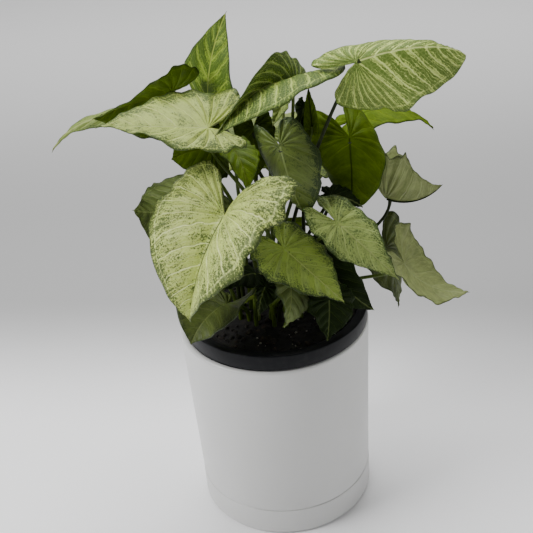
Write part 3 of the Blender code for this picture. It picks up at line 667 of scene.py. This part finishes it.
# %% The leaves in the middle
leaf("leaf_centre_hanging", base=(14, -15, 302), tip=(27, -7, 247), face=(-0.15, -0.85, 0.5), width=53,
     left=1.1, right=0.85, lobe=0.3, splay_l=0, splay_r=0.3, arch=100, fold_l=-5, fold_r=-10, cup=70,
     twist=-35, stalk=(11, 4, 15, 8, 0.7), skin="dull_olive", stem="dark_stalk", slot="fresh_leaf")
leaf("leaf_middle_front", base=(11, -41, 238), tip=(47, -71, 211), face=(0, -0.05, 1), width=69,
     left=0.9, right=0.95, lobe=0.34, splay_l=0.05, splay_r=0, arch=0, fold_l=-5, cup=5, lift_l=5,
     stalk=(20, -15, 50, 8, 1), skin="olive", drip=2, slot="olive_leaf")
leaf("leaf_shade_right", base=(38, -13, 208), tip=(71, -30, 175), face=(-0.25, -0.9, 0.25), width=41,
     right=0.85, arch=70, fold_l=20, fold_r=20, cup=15, twist=5, stalk=(12, -12, 15, 8, 0.7),
     skin="deep", stem="dark_stalk", drip=2, slot="shaded_leaf")
leaf("leaf_small_arching", base=(48, -4, 256), tip=(68, -9, 247), face=(0, -0.5, 1), width=18,
     splay_l=0, splay_r=0, arch=50, wave=0, stalk=(23, -2, 15, 45, 1), skin="deep", stem="dark_stalk",
     slot="shaded_leaf")
leaf("leaf_left_back", base=(-50, -13, 271), tip=(-86, -32, 273), face=(-0.2, -0.25, 0.95), width=77,
     left=1.15, right=0.85, splay_r=0.2, arch=-70, fold_l=-25, fold_r=5, cup=30, lift_r=10, twist=25,
     stalk=(-24, -11, 15, 8, 0.35), skin="dull_pale", drip=2, slot="fresh_leaf")
leaf("leaf_shade_left", base=(-32, 20, 287), tip=(-61, 19, 283), face=(0, -0.5, 0.85), width=64,
     right=0.8, lobe=0.25, splay_l=0.1, splay_r=0.1, arch=55, fold_l=25, fold_r=30, twist=10,
     stalk=(-24, -2, 110, 8, 1), skin="shade", stem="dark_stalk", slot="shaded_leaf")
leaf("leaf_shade_centre", base=(-2, 18, 302), tip=(-5, 13, 263), face=(-0.05, -0.9, 0.4), width=29,
     lobe=0.3, arch=15, wave=1, stalk=(-11, 5, 80, 65, 1), skin="shade", stem="dark_stalk",
     slot="dark_leaf")

# %% [markdown]
# The oldest leaves hang low over the soil, and one lies over the rim.

# %% The low leaves
leaf("leaf_over_rim", base=(-32, -38, 196), tip=(-58, -62, 182), face=(-0.6, -0.4, 0.7), width=76,
     lobe=0.36, lobe_r=0.8, splay_l=-0.05, splay_r=0, arch=60, fold_l=20, fold_r=15, cup=-25,
     lift_l=-20, twist=35, stalk=(-18, -14, 15, 8, 0), skin="dull_dark", slot="olive_leaf")
leaf("leaf_low_middle", base=(13, -45, 212), tip=(6, -65, 191), face=(0.65, -0.75, 0.1), width=48,
     arch=45, fold_l=20, fold_r=20, cup=35, twist=25, stalk=(-2, -15, 15, 8, 0.7), skin="dull_pale",
     slot="olive_leaf")
leaf("leaf_low_right", base=(39, -44, 196), tip=(35, -61, 174), face=(0.3, -0.9, 0.2), width=38,
     arch=20, fold_l=15, fold_r=20, twist=15, stalk=(4, -18, 30, 28, 0.35), skin="deep",
     stem="dark_stalk", slot="shaded_leaf")
leaf("leaf_small_low", base=(-4, -50, 215), tip=(-10, -52, 194), face=(-0.3, -0.6, 0.75), width=20,
     right=0.6, arch=40, fold_r=-5, twist=-10, wave=0.5, stalk=(0, -24, 15, 8, 0.7), skin="deep",
     slot="shaded_leaf")
leaf("leaf_shade_low", base=(-10, -21, 208), tip=(-33, -46, 213), face=(0, -0.45, 0.9), width=31,
     arch=55, fold_r=5, cup=30, wave=1, stalk=(-13, -21, 15, 8, 1), skin="deep", slot="shaded_leaf")

# %% [markdown]
# New leaves come up furled, and open as they grow.

# %% The young leaves
leaf("leaf_young_furled", base=(-18, -6, 299), tip=(-10, -30, 278), face=(0.4, -0.75, 0.5), width=33,
     right=0.75, splay_r=0.1, arch=80, fold_l=15, fold_r=20, cup=25, lift_r=-5, wave=1,
     stalk=(-16, 1, 15, 8, 1), skin="dark", slot="fresh_leaf")
leaf("leaf_new_narrow", base=(20, 12, 322), tip=(11, 5, 308), face=(-0.3, -0.9, 0.4), width=13,
     lobe=0.2, splay_l=0, splay_r=0, arch=20, fold_l=40, fold_r=40, cup=10, wave=0,
     stalk=(-11, -14, 30, 28, 0.7), skin="soft_pale", under="pale_under", stem="pale_stalk",
     slot="fresh_leaf")
leaf("leaf_new_curled", base=(33, 23, 311), tip=(21, 14, 290), face=(0.5, -0.8, 0.3), width=16,
     lobe=0.25, splay_l=0, splay_r=0, arch=60, fold_l=25, fold_r=30, cup=30, twist=20, wave=0.5,
     stalk=(25, 7, 15, 35, 0.8), skin="deep", stem="dark_stalk", slot="dark_leaf")
leaf("leaf_new_rolled", base=(38, 16, 297), tip=(37, 16, 328), face=(-0.2, -1, 0), width=13, lobe=0.15,
     splay_l=0, splay_r=0, arch=0, cup=-50, wave=0, stalk=(-1, 17, 30, 16, 1), skin="sunny",
     slot="fresh_leaf")

# %% [markdown]
# The photograph can't show these, but a bushy plant has them on its far side too.

# %% The leaves at the back
leaf("leaf_back_left", base=(-37, 62, 248), tip=(-65, 92, 210), face=(-0.4, 0.6, 0.7), width=70,
     arch=55, fold_l=20, fold_r=15, cup=30, stalk=(-14, 23, 15, 10, 0.8), skin="speckled",
     under="pale_under", drip=2, slot="pale_leaf")
leaf("leaf_back_middle", base=(8, 58, 278), tip=(5, 106, 264), face=(0, 0.3, 1), width=78, splay_l=0.2,
     arch=60, fold_l=20, fold_r=20, cup=35, stalk=(3, 0, 50, 20, 0), skin="soft_pale",
     under="pale_under", drip=2, slot="pale_leaf")
leaf("leaf_back_right", base=(26, 63, 245), tip=(46, 99, 216), face=(0.4, 0.6, 0.7), width=66, arch=50,
     fold_l=15, fold_r=20, cup=25, stalk=(-23, 12, 120, 40, 0.2), skin="olive", drip=2,
     slot="fresh_leaf")
leaf("leaf_back_low", base=(5, 35, 215), tip=(-8, 72, 185), face=(0, 0.6, 0.8), width=56, arch=45,
     fold_l=15, fold_r=15, cup=25, stalk=(4, 22, 15, 10, 0.8), skin="fresh", drip=2, slot="fresh_leaf")

# %% [markdown]
# ## Shaping a blade
#
# A point of the flat leaf is a distance along the midrib and a distance out from it. The real leaf is
# also quilted between its side veins and frilled at its margin. Both are small ripples that follow
# the veins, so they are added here, where the plain solids have none. Each leaf shifts its ripples by
# its own luck, a number made from its place, so that no two margins are the same.

# %% The flat blade
FRILL, FRILLS, UNEVEN = 0.0013, 6, 0.045
VEIN_BOW, VEIN_CROWD = 0.035, 1.7
ALMOST_FLAT = 1e-4


class FlatBlade:
    """A leaf's axes and size, and its points before it is bent."""

    def __init__(self, measures, veins, quilt):
        self.m, self.base = measures, measures["base"]
        self.veins, self.quilt = veins, quilt
        along = measures["tip"] - self.base
        chord = np.linalg.norm(along)
        self.along = along / chord
        face = np.asarray(measures["face"], float)
        normal = face - self.along * (face @ self.along)
        self.normal = normal / np.linalg.norm(normal)
        self.across = np.cross(self.along, self.normal)
        self.bend = math.radians(self.m["arch"]) or ALMOST_FLAT
        self.length = chord * (self.bend / 2) / math.sin(self.bend / 2)
        self.luck = 90 * self.base.sum()

    def half(self, side):
        """Half the width, and the letter that the measures of this side end in."""
        share, letter = (self.m["right"], "r") if side > 0 else (self.m["left"], "l")
        return self.m["width"] / 2 * share, letter

    def flat(self, side, time, share):
        """Distances along and out from the midrib, for shares of the way to the margin."""
        m, (half, letter) = self.m, self.half(side)
        outline = smooth_through(HALF_OUTLINE, time)
        u, v = outline[:, 0], outline[:, 1]
        v = v + m["splay_" + letter] * np.clip(-u / OUTLINE_LOBE, 0, 1)
        u = np.where(u < 0, u * m["lobe"] * m["lobe_" + letter] / OUTLINE_LOBE, u)
        rib = np.clip(u - VEIN_LEAN * v, 0, 1)
        turn = 2 * math.pi * time
        uneven = np.sin(5.3 * turn + self.luck + side) + 0.7 * np.sin(11.7 * turn + 2 * self.luck)
        v = v * (1 + UNEVEN * uneven * share**3 * np.sin(math.pi * time))
        return self.length * (rib + (u - rib) * share), half * v * share

    def relief(self, side, time, share):
        """Quilting between the side veins, and a frill by the margin."""
        phase = self.veins * np.clip(time - VEIN_BOW * share**2, 0, 1) ** VEIN_CROWD
        quilts = self.quilt * np.cos(2 * math.pi * phase) * -np.sin(math.pi * share) ** 0.7
        turn = 2 * math.pi * time
        frill = np.sin(FRILLS * turn + self.luck + side) + 0.5 * np.sin(2.3 * FRILLS * turn + 3 * side)
        return quilts + FRILL * share**4 * frill * np.sin(math.pi * time) ** 0.5


print("a blade has", FRILLS, "frills on each side")

# %% [markdown]
# Each half is curled by going round a circle instead of along a line, and the midrib is bent in the
# same way. Formulas do this better than a cloth simulation, because a leaf is stiff enough to keep
# its form, and the same measures then give the same leaf each time.

# %% Bend the blade
TIP_START, WAVE_OFFSET = 0.7, 0.37


class Blade(FlatBlade):
    """Where each point of a flat arrowhead goes when the leaf is shaped."""

    def place(self, side, x, y, time, raised=0):
        """World points for distances x along the midrib and y out from it, on one side."""
        m, (half, letter) = self.m, self.half(side)
        fold = math.radians(m["fold_" + letter])
        curl = -(math.radians(m["cup"]) or ALMOST_FLAT) / half
        out = (np.sin(fold + curl * y) - math.sin(fold)) / curl
        up = (math.cos(fold) - np.cos(fold + curl * y)) / curl + raised
        phase = 2 * math.pi * (m["waves"] * time + (WAVE_OFFSET if side > 0 else 0))
        ripple = np.sin(phase) * np.sqrt(np.abs(np.sin(math.pi * time)))
        up = up + m["wave"] * (y / half) ** 2 * ripple
        back = np.clip(-x, 0, None) / self.length
        lift = math.radians(m["lift_" + letter])
        up = up + lift * self.length * back * np.clip(3 * back, 0, 1)
        kappa = self.bend / self.length
        angle = kappa * np.clip(x, 0, None)
        rib_x = np.where(x > 0, np.sin(angle) / kappa, x)
        rib_z = -(1 - np.cos(angle)) / kappa
        near_tip = np.clip(x / self.length - TIP_START, 0, None)
        tip_curl = math.radians(m["tip_curl"]) * (near_tip / (1 - TIP_START)) ** 2
        rib_z = rib_z - np.sin(tip_curl) * near_tip * self.length * 0.5
        angle = angle + tip_curl
        twist = math.radians(m["twist"]) * np.clip(x / self.length, -0.5, 1)
        wide = side * out * np.cos(twist) - up * np.sin(twist)
        high = side * out * np.sin(twist) + up * np.cos(twist)
        rib_x = rib_x + np.sin(angle) * high
        rib_z = rib_z + np.cos(angle) * high
        ahead = rib_x * math.cos(self.bend / 2) - rib_z * math.sin(self.bend / 2)
        rise = rib_x * math.sin(self.bend / 2) + rib_z * math.cos(self.bend / 2)
        return self.base + np.stack([ahead, wide, rise], -1) @ np.stack(
            [self.along, self.across, self.normal])

    def surface(self, time, signed):
        """World points, and flat places, for times and for shares that are negative on the left."""
        points, flats = np.empty((len(time), 3)), np.empty((len(time), 2))
        for side in (-1, 1):
            mine = signed >= 0 if side > 0 else signed < 0
            t, share = time[mine], np.abs(signed[mine])
            x, y = self.flat(side, t, share)
            points[mine] = self.place(side, x, y, t, self.relief(side, t, share))
            flats[mine] = np.stack([x / self.length, side * y], 1)
        return points, flats


print("tips curl from", TIP_START, "of a leaf's length")

# %% [markdown]
# ## Growing a blade from a grid
#
# A grid primitive already has what the leaf needs: rows that become its side veins, and a UV map that
# then says where each point is between notch and tip, and between midrib and margin. Its points are
# moved onto the shaped leaf, and the rows that meet in the notch are merged. Solidify gives the
# thickness, and puts the underside in a second material slot.

# %% Grow a blade
ROWS, COLUMNS = 72, 24
BLADE_THICKNESS, NOTCH_MERGE = 0.00045, 2e-5


def grow_blade(name, blade):
    bpy.ops.object.select_all(action="DESELECT")
    bpy.ops.mesh.primitive_grid_add(x_subdivisions=ROWS, y_subdivisions=COLUMNS, size=2, calc_uvs=True)
    piece = bpy.context.object
    piece.name = name
    piece.data.uv_layers[0].name = "leaf"
    spots = np.empty(len(piece.data.vertices) * 3)
    piece.data.vertices.foreach_get("co", spots)
    spots = spots.reshape(-1, 3)
    points, flats = blade.surface((spots[:, 0] + 1) / 2, -spots[:, 1])
    piece.data.vertices.foreach_set("co", points.ravel())
    plan = piece.data.attributes.new("plan", "FLOAT_VECTOR", "POINT")
    plan.data.foreach_set("vector", np.column_stack([flats, np.zeros(len(flats))]).ravel())
    bpy.ops.object.mode_set(mode="EDIT")
    bpy.ops.mesh.select_all(action="SELECT")
    bpy.ops.mesh.remove_doubles(threshold=NOTCH_MERGE)
    bpy.ops.object.mode_set(mode="OBJECT")
    bpy.ops.object.modifier_add(type="SOLIDIFY")
    wall = piece.modifiers[-1]
    wall.thickness, wall.offset, wall.material_offset = BLADE_THICKNESS, 0, 1
    return piece


# %% [markdown]
# ## Growing a stalk from a curve
#
# A stalk is a tapered tube, and a curve with a bevel makes one from a few points. It rises straight
# out of its hole, bends over and meets the blade. A second, thinner line runs on under the blade as
# its midrib and ends in the short thread at the tip that sheds water.

# %% Lay out a stalk
STALK_INSET, JOINT_WIDENING, RIB_SINK = 0.003, 0.0005, 0.8
STRAIGHT_RISE, ROOT_DEPTH = 0.004, 0.010
STALK_FOOT_RADIUS, STALK_TOP_RADIUS, RIB_RADIUS, RIB_END_RADIUS = 0.0016, 0.0011, 0.0008, 0.0003
THREAD_RADIUS, THREAD_END_RADIUS, THREAD_DROOP = 0.00028, 0.00012, 60.0
STALK_POINTS, RIB_POINTS, THREAD_POINTS = 26, 18, 5


def stalk_line(blade):
    """Points and radii of the stalk, from its foot in the soil to the blade."""
    *lengths, upright = blade.m["stalk"]
    x, y, rise, reach = np.array(lengths) / 1000
    inset, none = np.array([STALK_INSET]), np.zeros(1)
    end = blade.place(1, inset, none, none)[0]
    start = np.array([x, y, SOIL_TOP + STRAIGHT_RISE])
    up = np.array([0, 0, 1.0])
    square = 0.9 * blade.normal + 0.35 * blade.along
    arrive = square / np.linalg.norm(square) * (1 - upright) + up * upright
    arrive = arrive / np.linalg.norm(arrive)
    first, second = start + up * rise, end - arrive * reach
    t = np.linspace(0, 1, STALK_POINTS)[:, None]
    curve = (1 - t) ** 3 * start + 3 * (1 - t) ** 2 * t * first
    curve = curve + 3 * (1 - t) * t**2 * second + t**3 * end
    thin = np.linspace(STALK_FOOT_RADIUS, STALK_TOP_RADIUS, STALK_POINTS)
    thin = thin + JOINT_WIDENING * np.clip(1 - (1 - t[:, 0]) * 9, 0, 1) ** 2
    curve[-1] -= 0.0003 * arrive
    return np.vstack([[x, y, SOIL_TOP - ROOT_DEPTH], curve]), np.append(STALK_FOOT_RADIUS, thin)


def rib_line(blade):
    """Points and radii of the midrib under the blade, and of the thread beyond the tip."""
    share = np.linspace(0.01, 0.985, RIB_POINTS)
    radius = RIB_RADIUS + (RIB_END_RADIUS - RIB_RADIUS) * share
    points = blade.place(1, share * blade.length, 0 * share, share, -0.0001 - RIB_SINK * radius)
    ahead = points[-1] - points[-2]
    ahead = ahead / np.linalg.norm(ahead)
    steps = np.linspace(0.2, 1, THREAD_POINTS)[:, None] * blade.m["drip"]
    thread = points[-1] + ahead * steps - np.array([0, 0, THREAD_DROOP]) * steps**2
    thin = np.linspace(THREAD_RADIUS, THREAD_END_RADIUS, THREAD_POINTS)
    return np.vstack([points, thread]), np.append(radius, thin)


# %% Grow a stalk
def grow_stalk(blade):
    bpy.ops.object.select_all(action="DESELECT")
    bpy.ops.curve.primitive_bezier_curve_add()
    tube = bpy.context.object
    curve = tube.data
    curve.splines.clear()
    curve.dimensions = "3D"
    curve.bevel_depth, curve.bevel_resolution, curve.use_fill_caps = 1.0, 3, True
    for points, radii in (stalk_line(blade), rib_line(blade)):
        line = curve.splines.new("POLY")
        line.points.add(len(points) - 1)
        for point, spot, radius in zip(line.points, points, radii):
            point.co, point.radius = (*spot, 1), radius
    bpy.ops.object.convert(target="MESH")
    bpy.ops.object.shade_smooth()
    return bpy.context.object


# %% [markdown]
# ## What a leaf's skin looks like
#
# The pattern follows the leaf, not space, so the material reads the UV map. Side veins are stripes that
# crowd towards the tip and bow to it, and the distance to the nearest one comes from the part after
# the decimal point. How green a place is adds up from where it lies: more between the veins and by
# the margin, less on the veins. Fine noise turns that amount into speckles when it is compared with it.
# Most skins differ little from one of three, so they are written down as those with their changes.
#
# ground, margin, between, blotch, grain and streak say how much of each goes into that sum, and
# soft how gradually the green takes over. The pale leaves are the most speckled, and come first.

# %% The speckled skins
PLAIN = dict(pale=(0.36, 0.43, 0.12), green=(0.07, 0.11, 0.02), vein=(0.55, 0.62, 0.24),
             rim=(0.02, 0.035, 0.008), rib=(0.32, 0.38, 0.12), ground=0.2, margin=0.45, between=0.1,
             blotch=0.8, grain=1.8, streak=0.6, soft=0.2, veins=12, vein_show=0.5, vein_width=0.08,
             fine=0.25, net=0.1, gloss=0.45, shine=0.3, quilt=0.0006)
SKINS = {}
SKINS["speckled"] = dict(PLAIN, pale=(0.514, 0.611, 0.14), green=(0.085, 0.125, 0.022),
    vein=(0.72, 0.8, 0.32), rim=(0.045, 0.07, 0.015), rib=(0.07, 0.1, 0.03), ground=0.27, margin=0.55,
    blotch=1.5, grain=2.6, streak=1.6, soft=0.22, veins=14, vein_show=0.8, vein_width=0.06, fine=0.5,
    net=0.5, quilt=0.0008)
SKINS["speckled_level"] = dict(PLAIN, pale=(0.379, 0.465, 0.089), green=(0.075, 0.115, 0.02),
    vein=(0.54, 0.61, 0.198), rim=(0.05, 0.08, 0.018), rib=(0.38, 0.45, 0.14), margin=0.52, blotch=1.8,
    grain=2.4, streak=1.2, vein_show=0.6, net=0.3)
SKINS["soft_pale"] = dict(PLAIN, pale=(0.249, 0.329, 0.07), green=(0.09, 0.14, 0.03),
    vein=(0.42, 0.5, 0.17), rim=(0.05, 0.08, 0.018), grain=1.6, veins=10)
SKINS["mid_pale"] = dict(PLAIN, pale=(0.317, 0.408, 0.103), green=(0.066, 0.11, 0.022),
    vein=(0.47, 0.571, 0.19), rim=(0.025, 0.045, 0.008), ground=0.22, margin=0.5, blotch=1.5, grain=2.2,
    streak=1.2, soft=0.28, vein_show=0.6, vein_width=0.06, fine=0.45, net=0.4)
print(len(SKINS), "skins")

# %% [markdown]
# Over the top the leaves are netted: green lies between the side veins, and pale bands follow them.

# %% The netted skins
NETTED = dict(PLAIN, ground=0.57, margin=0.15, between=0.42, grain=1.2, streak=1.7, vein_show=0.8,
              vein_width=0.1, fine=0.6, net=0.5)
SKINS["netted_pale"] = dict(NETTED, pale=(0.55, 0.674, 0.152), green=(0.109, 0.181, 0.02),
    vein=(0.67, 0.782, 0.236), rim=(0.06, 0.1, 0.015), rib=(0.5, 0.58, 0.18), margin=0.1, blotch=0.5,
    grain=1.3, streak=2, soft=0.17, veins=21, fine=0.8)
SKINS["netted"] = dict(NETTED, pale=(0.284, 0.389, 0.053), green=(0.052, 0.098, 0.0057),
    vein=(0.44, 0.54, 0.13), rim=(0.035, 0.065, 0.006), rib=(0.42, 0.5, 0.13), blotch=0.6, veins=17,
    net=0.6)
SKINS["netted_green"] = dict(NETTED, pale=(0.25, 0.375, 0.025), green=(0.061, 0.121, 0.0041),
    vein=(0.36, 0.47, 0.07), rib=(0.34, 0.42, 0.07), ground=0.5, margin=0.2, blotch=1, grain=0.9,
    streak=1.3, soft=0.26, veins=13, vein_show=0.6, vein_width=0.08)
print(len(SKINS), "skins")

# %% [markdown]
# Leaves in half shade look dull. The lamps alone don't make them dark enough, so shade is painted
# into these skins too: their colours are darker than the leaves' own.

# %% The dull skins, with painted shade
SKINS["olive"] = dict(PLAIN, pale=(0.286, 0.396, 0.056), green=(0.055, 0.094, 0.012),
    vein=(0.389, 0.502, 0.097), rim=(0.02, 0.035, 0.006), rib=(0.336, 0.408, 0.096), ground=0.14,
    margin=0.5, grain=1.9, vein_show=0.4)
SKINS["dull_olive"] = dict(PLAIN, pale=(0.12, 0.168, 0.028), green=(0.02, 0.042, 0.005),
    vein=(0.2, 0.25, 0.07), rib=(0.19, 0.24, 0.07), ground=0.14, margin=0.7, blotch=1.3, soft=0.22,
    vein_show=0.3)
SKINS["dull_pale"] = dict(PLAIN, pale=(0.16, 0.21, 0.055), green=(0.06, 0.09, 0.02),
    vein=(0.22, 0.28, 0.075), rib=(0.24, 0.3, 0.09), ground=0.15, margin=0.3, grain=1, soft=0.35,
    vein_show=0.35)
SKINS["dull_dark"] = dict(PLAIN, pale=(0.092, 0.124, 0.022), green=(0.032, 0.047, 0.0072),
    vein=(0.14, 0.175, 0.04), rib=(0.11, 0.14, 0.03), ground=0.25, margin=0.3, grain=0.8, soft=0.4,
    vein_show=0.3)
print(len(SKINS), "skins")

# %% [markdown]
# Young and shaded leaves, and all undersides, are nearly even in colour: their greens lie close
# together, and their speckles are soft.

# %% The even skins
CALM = dict(PLAIN, ground=0.4, margin=0.2, between=0.2, grain=0.4, soft=0.5, vein_show=0.3, gloss=0.6,
            shine=0.1)
SKINS["fresh"] = dict(CALM, pale=(0.133, 0.209, 0.0026), green=(0.065, 0.115, 0.0014),
    vein=(0.19, 0.279, 0.0076), rib=(0.05, 0.08, 0.002), ground=0.3, margin=0.1, blotch=0.9, grain=0.5)
SKINS["sunny"] = dict(CALM, pale=(0.083, 0.138, 0.0007), green=(0.037, 0.068, 0.0007),
    vein=(0.11, 0.165, 0.0022), rib=(0.02, 0.035, 0.001), ground=0.3, margin=0.15, between=0.15,
    blotch=0.9, grain=0.5, vein_show=0.25, shine=0.08)
# Partly painted shade: the dark skin is a leaf's own darker green, made darker still for the shade it lies
# in.
SKINS["dark"] = dict(CALM, pale=(0.15, 0.246, 0.008), green=(0.056, 0.098, 0.004),
    vein=(0.225, 0.319, 0.018), rib=(0.13, 0.182, 0.013), margin=0.1, blotch=1, grain=0.6, gloss=0.5,
    shine=0.2)
# Painted shade: the shade and deep skins are far darker than the leaves' own green, for the leaves in the
# shade below.
SKINS["shade"] = dict(CALM, pale=(0.069, 0.113, 0.0013), green=(0.024, 0.044, 0.0006),
    vein=(0.083, 0.125, 0.0042), rib=(0.06, 0.09, 0.006), vein_show=0.25, shine=0.08)
SKINS["deep"] = dict(CALM, pale=(0.018, 0.036, 0.004), green=(0.005, 0.012, 0.001),
    vein=(0.045, 0.065, 0.012), rib=(0.1, 0.13, 0.04), gloss=0.55)
SKINS["pale_under"] = dict(CALM, pale=(0.303, 0.352, 0.121), green=(0.14, 0.17, 0.05),
    vein=(0.33, 0.38, 0.15), rib=(0.3, 0.35, 0.14), ground=0.1, margin=0.25, between=0.1, blotch=0.9,
    grain=0.5, veins=9, vein_show=0.4, shine=0.3)
SKINS["green_under"] = dict(CALM, pale=(0.132, 0.187, 0.017), green=(0.05, 0.08, 0.006),
    vein=(0.17, 0.22, 0.03), rib=(0.15, 0.2, 0.03), ground=0.3, between=0.1, vein_show=0.35, shine=0.15)
print(len(SKINS), "skins")

# %% [markdown]
# A real syngonium leaf has side veins that leave the midrib at a slant and bow towards the tip, a vein
# that gathers them near the margin, and a net of fine ones between. Painting them as an image would
# tie them to one leaf, so they are worked out from the UV map: where a vein's number is whole, there
# it runs. The finer veins are the same lines four times as dense, and the net is a Voronoi pattern.

# %% Lay the veins
NET_SCALE, WOBBLE_SCALE, GATHER_SHARE, FINER = 420, 110, 0.88, 4


def vein_lines(skin, look, spot, share, across):
    """How much of a side vein, of a finer vein and of the net each place has, and how near a vein is."""
    wobble = cloud(skin, spot, WOBBLE_SCALE, 3) - 0.5
    phase = (across - VEIN_BOW * share * share).at_least(0) ** VEIN_CROWD * look["veins"] + wobble * 0.35
    near = 0.5 - abs(phase.part() - 0.5)
    finer = 0.5 - abs((phase * FINER + wobble * 1.5).part() - 0.5)
    gather = (1 - abs(share - GATHER_SHARE + 0.09 * wobble).ease(0.0, 0.022)) * (phase + 0.5).ease(0.5, 2.0)
    side_veins = (1 - near.ease(0.005, look["vein_width"])) * (1 - share.ease(0.8, 0.92))
    fine_veins = (1 - finer.ease(0.02, 0.2)) * look["fine"] * share.ease(0.05, 0.4)
    cells = skin.node(
        "ShaderNodeTexVoronoi", {"feature": "DISTANCE_TO_EDGE"}, {"Vector": spot, "Scale": NET_SCALE})
    net = (1 - cells.ease(0.0, 0.2)) * look["net"]
    return phase, near, side_veins + 0.5 * gather * (1 - side_veins), fine_veins, net


# %% [markdown]
# A skin is then built up as the leaf is: a pale ground with faint clouds, dark speckles over it, the
# lighter veins through both, the midrib, and a dark margin. The same masks give the bump, so that
# veins lie a little sunk and the speckles a little proud, and they vary the gloss.

# %% Paint a skin
BROAD_SCALE, FINE_SCALE, GRAIN_SCALE = 90, 1000, 1500


def paint_skin(name, look):
    """A leaf's material from its description."""
    skin = Finish(name)
    spot = place_of(skin)
    where = skin.node("ShaderNodeUVMap", {"uv_map": "leaf"})
    across = skin.node("ShaderNodeSeparateXYZ", None, {0: where})
    share = abs(across.out("Y") - 0.5) * 2
    phase, near, veins, fine_veins, net = vein_lines(skin, look, spot, share, across)
    plan = skin.node("ShaderNodeAttribute", {"attribute_name": "plan"}, out="Vector")
    plan_parts = skin.node("ShaderNodeSeparateXYZ", None, {0: plan})
    midrib = (1 - abs(plan_parts.out("Y")).ease(0.0002, 0.0009)) * plan_parts.ease(0.0, 0.02)

    along_vein = skin.node("ShaderNodeCombineXYZ", None, {"X": phase * 9, "Y": share * 6, "Z": 0.5})
    streaks = cloud(skin, along_vein, 1, 3, 0.6) - 0.5
    broad = cloud(skin, spot, BROAD_SCALE, 4, 0.6) - 0.5
    fine = cloud(skin, spot, FINE_SCALE, 2, 0.6) - 0.5
    amount = look["ground"] + look["margin"] * share.ease(0.55, 0.98)
    amount = amount + look["between"] * near.ease(0.05, 0.42)
    amount = amount + look["blotch"] * broad + look["grain"] * fine + look["streak"] * streaks
    amount = amount - 0.45 * veins - 0.4 * fine_veins - 0.3 * net
    cover = amount.ease(0.5 - look["soft"], 0.5 + look["soft"])

    dim = tuple(0.72 * level for level in look["pale"])
    ground = blend(skin, (0.5 + 1.5 * streaks + broad).ease(0.1, 0.8), look["pale"], dim)
    colour = blend(skin, cover, ground, look["green"])
    overlay = (veins + 0.5 * fine_veins + 0.4 * net) * look["vein_show"] * (1 - 0.4 * cover)
    colour = blend(skin, overlay, colour, look["vein"])
    colour = blend(skin, midrib, colour, look["rib"])
    edge = (share + 0.12 * fine + 0.05 * broad).ease(0.95, 0.99)
    colour = blend(skin, edge * 0.75, colour, look["rim"])

    grain = cloud(skin, spot, GRAIN_SCALE, 2)
    height = 0.3 * grain + 0.3 * cover - 0.9 * veins - 0.5 * fine_veins - 0.4 * net - midrib
    skin.set(Base_Color=colour, Roughness=look["gloss"] + 0.10 * cover + 0.15 * fine,
             Normal=bump(skin, height, 0.6, 0.0006), Specular_IOR_Level=look["shine"],
             Subsurface_Weight=0.08, Subsurface_Radius=(0.5, 1.0, 0.15), Subsurface_Scale=0.001)
    return skin.material


skins = {name: paint_skin(name + "_leaf_skin", look) for name, look in SKINS.items()}

# %% [markdown]
# Stalks are smooth and juicy. They are darker where they are old, and where they stand in shade that
# shade is painted into their colour, so there are three finishes. A cloud that is stretched along the
# height gives the faint streaks that run up them.

# %% Paint the stalks
def paint_stalk(name, light, deep):
    finish = Finish(name)
    spot = place_of(finish)
    stretched = finish.node("ShaderNodeMapping", None, {"Vector": spot, "Scale": (1, 1, 0.08)})
    streaks = cloud(finish, stretched, 1800, 3)
    patches = cloud(finish, spot, 60, 2)
    finish.set(Base_Color=blend(finish, (streaks * 0.6 + patches * 0.4).ease(0.35, 0.65), light, deep),
               Roughness=0.45 + 0.1 * patches, Normal=bump(finish, streaks, 0.2, 0.0003),
               Specular_IOR_Level=0.2)
    return finish.material


stalk_skins = {
    "green_stalk": paint_stalk("green_stalk_skin", (0.10, 0.15, 0.015), (0.035, 0.06, 0.006)),
    # Partly painted shade: this finish is the darker green of old stalks, made darker still for the shade
    # they stand in.
    "dark_stalk": paint_stalk("old_stalk_with_painted_shade_skin", (0.022, 0.032, 0.005), (0.006, 0.010, 0.002)),
    "pale_stalk": paint_stalk("pale_stalk_skin", (0.24, 0.31, 0.08), (0.12, 0.17, 0.03)),
}

# %% [markdown]
# ## The plant
#
# Each leaf is its blade and its stalk in one mesh, because they grew as one and the part has them as
# one solid. The blade's Solidify is applied first, so that its two skins are there before the join.

# %% Grow the plant
def grow_leaf(node, measures):
    look = SKINS[measures["skin"]]
    blade = Blade(measures, look["veins"], look["quilt"])
    piece = grow_blade("grown_" + node, blade)
    for face in ("skin", "under"):
        piece.data.materials.append(skins[measures[face]])
    bpy.ops.object.modifier_apply(modifier=piece.modifiers[0].name)
    bpy.ops.object.shade_smooth()
    stalk = grow_stalk(blade)
    stalk.data.materials.append(stalk_skins[measures["stem"]])
    bpy.ops.object.select_all(action="DESELECT")
    stalk.select_set(True)
    piece.select_set(True)
    bpy.context.view_layer.objects.active = piece
    bpy.ops.object.join()
    put_in_place(piece, node)
    return len(piece.data.polygons)


faces = [grow_leaf(node, measures) for node, measures in LEAVES.items()]
print(len(faces), "leaves,", sum(faces), "faces")
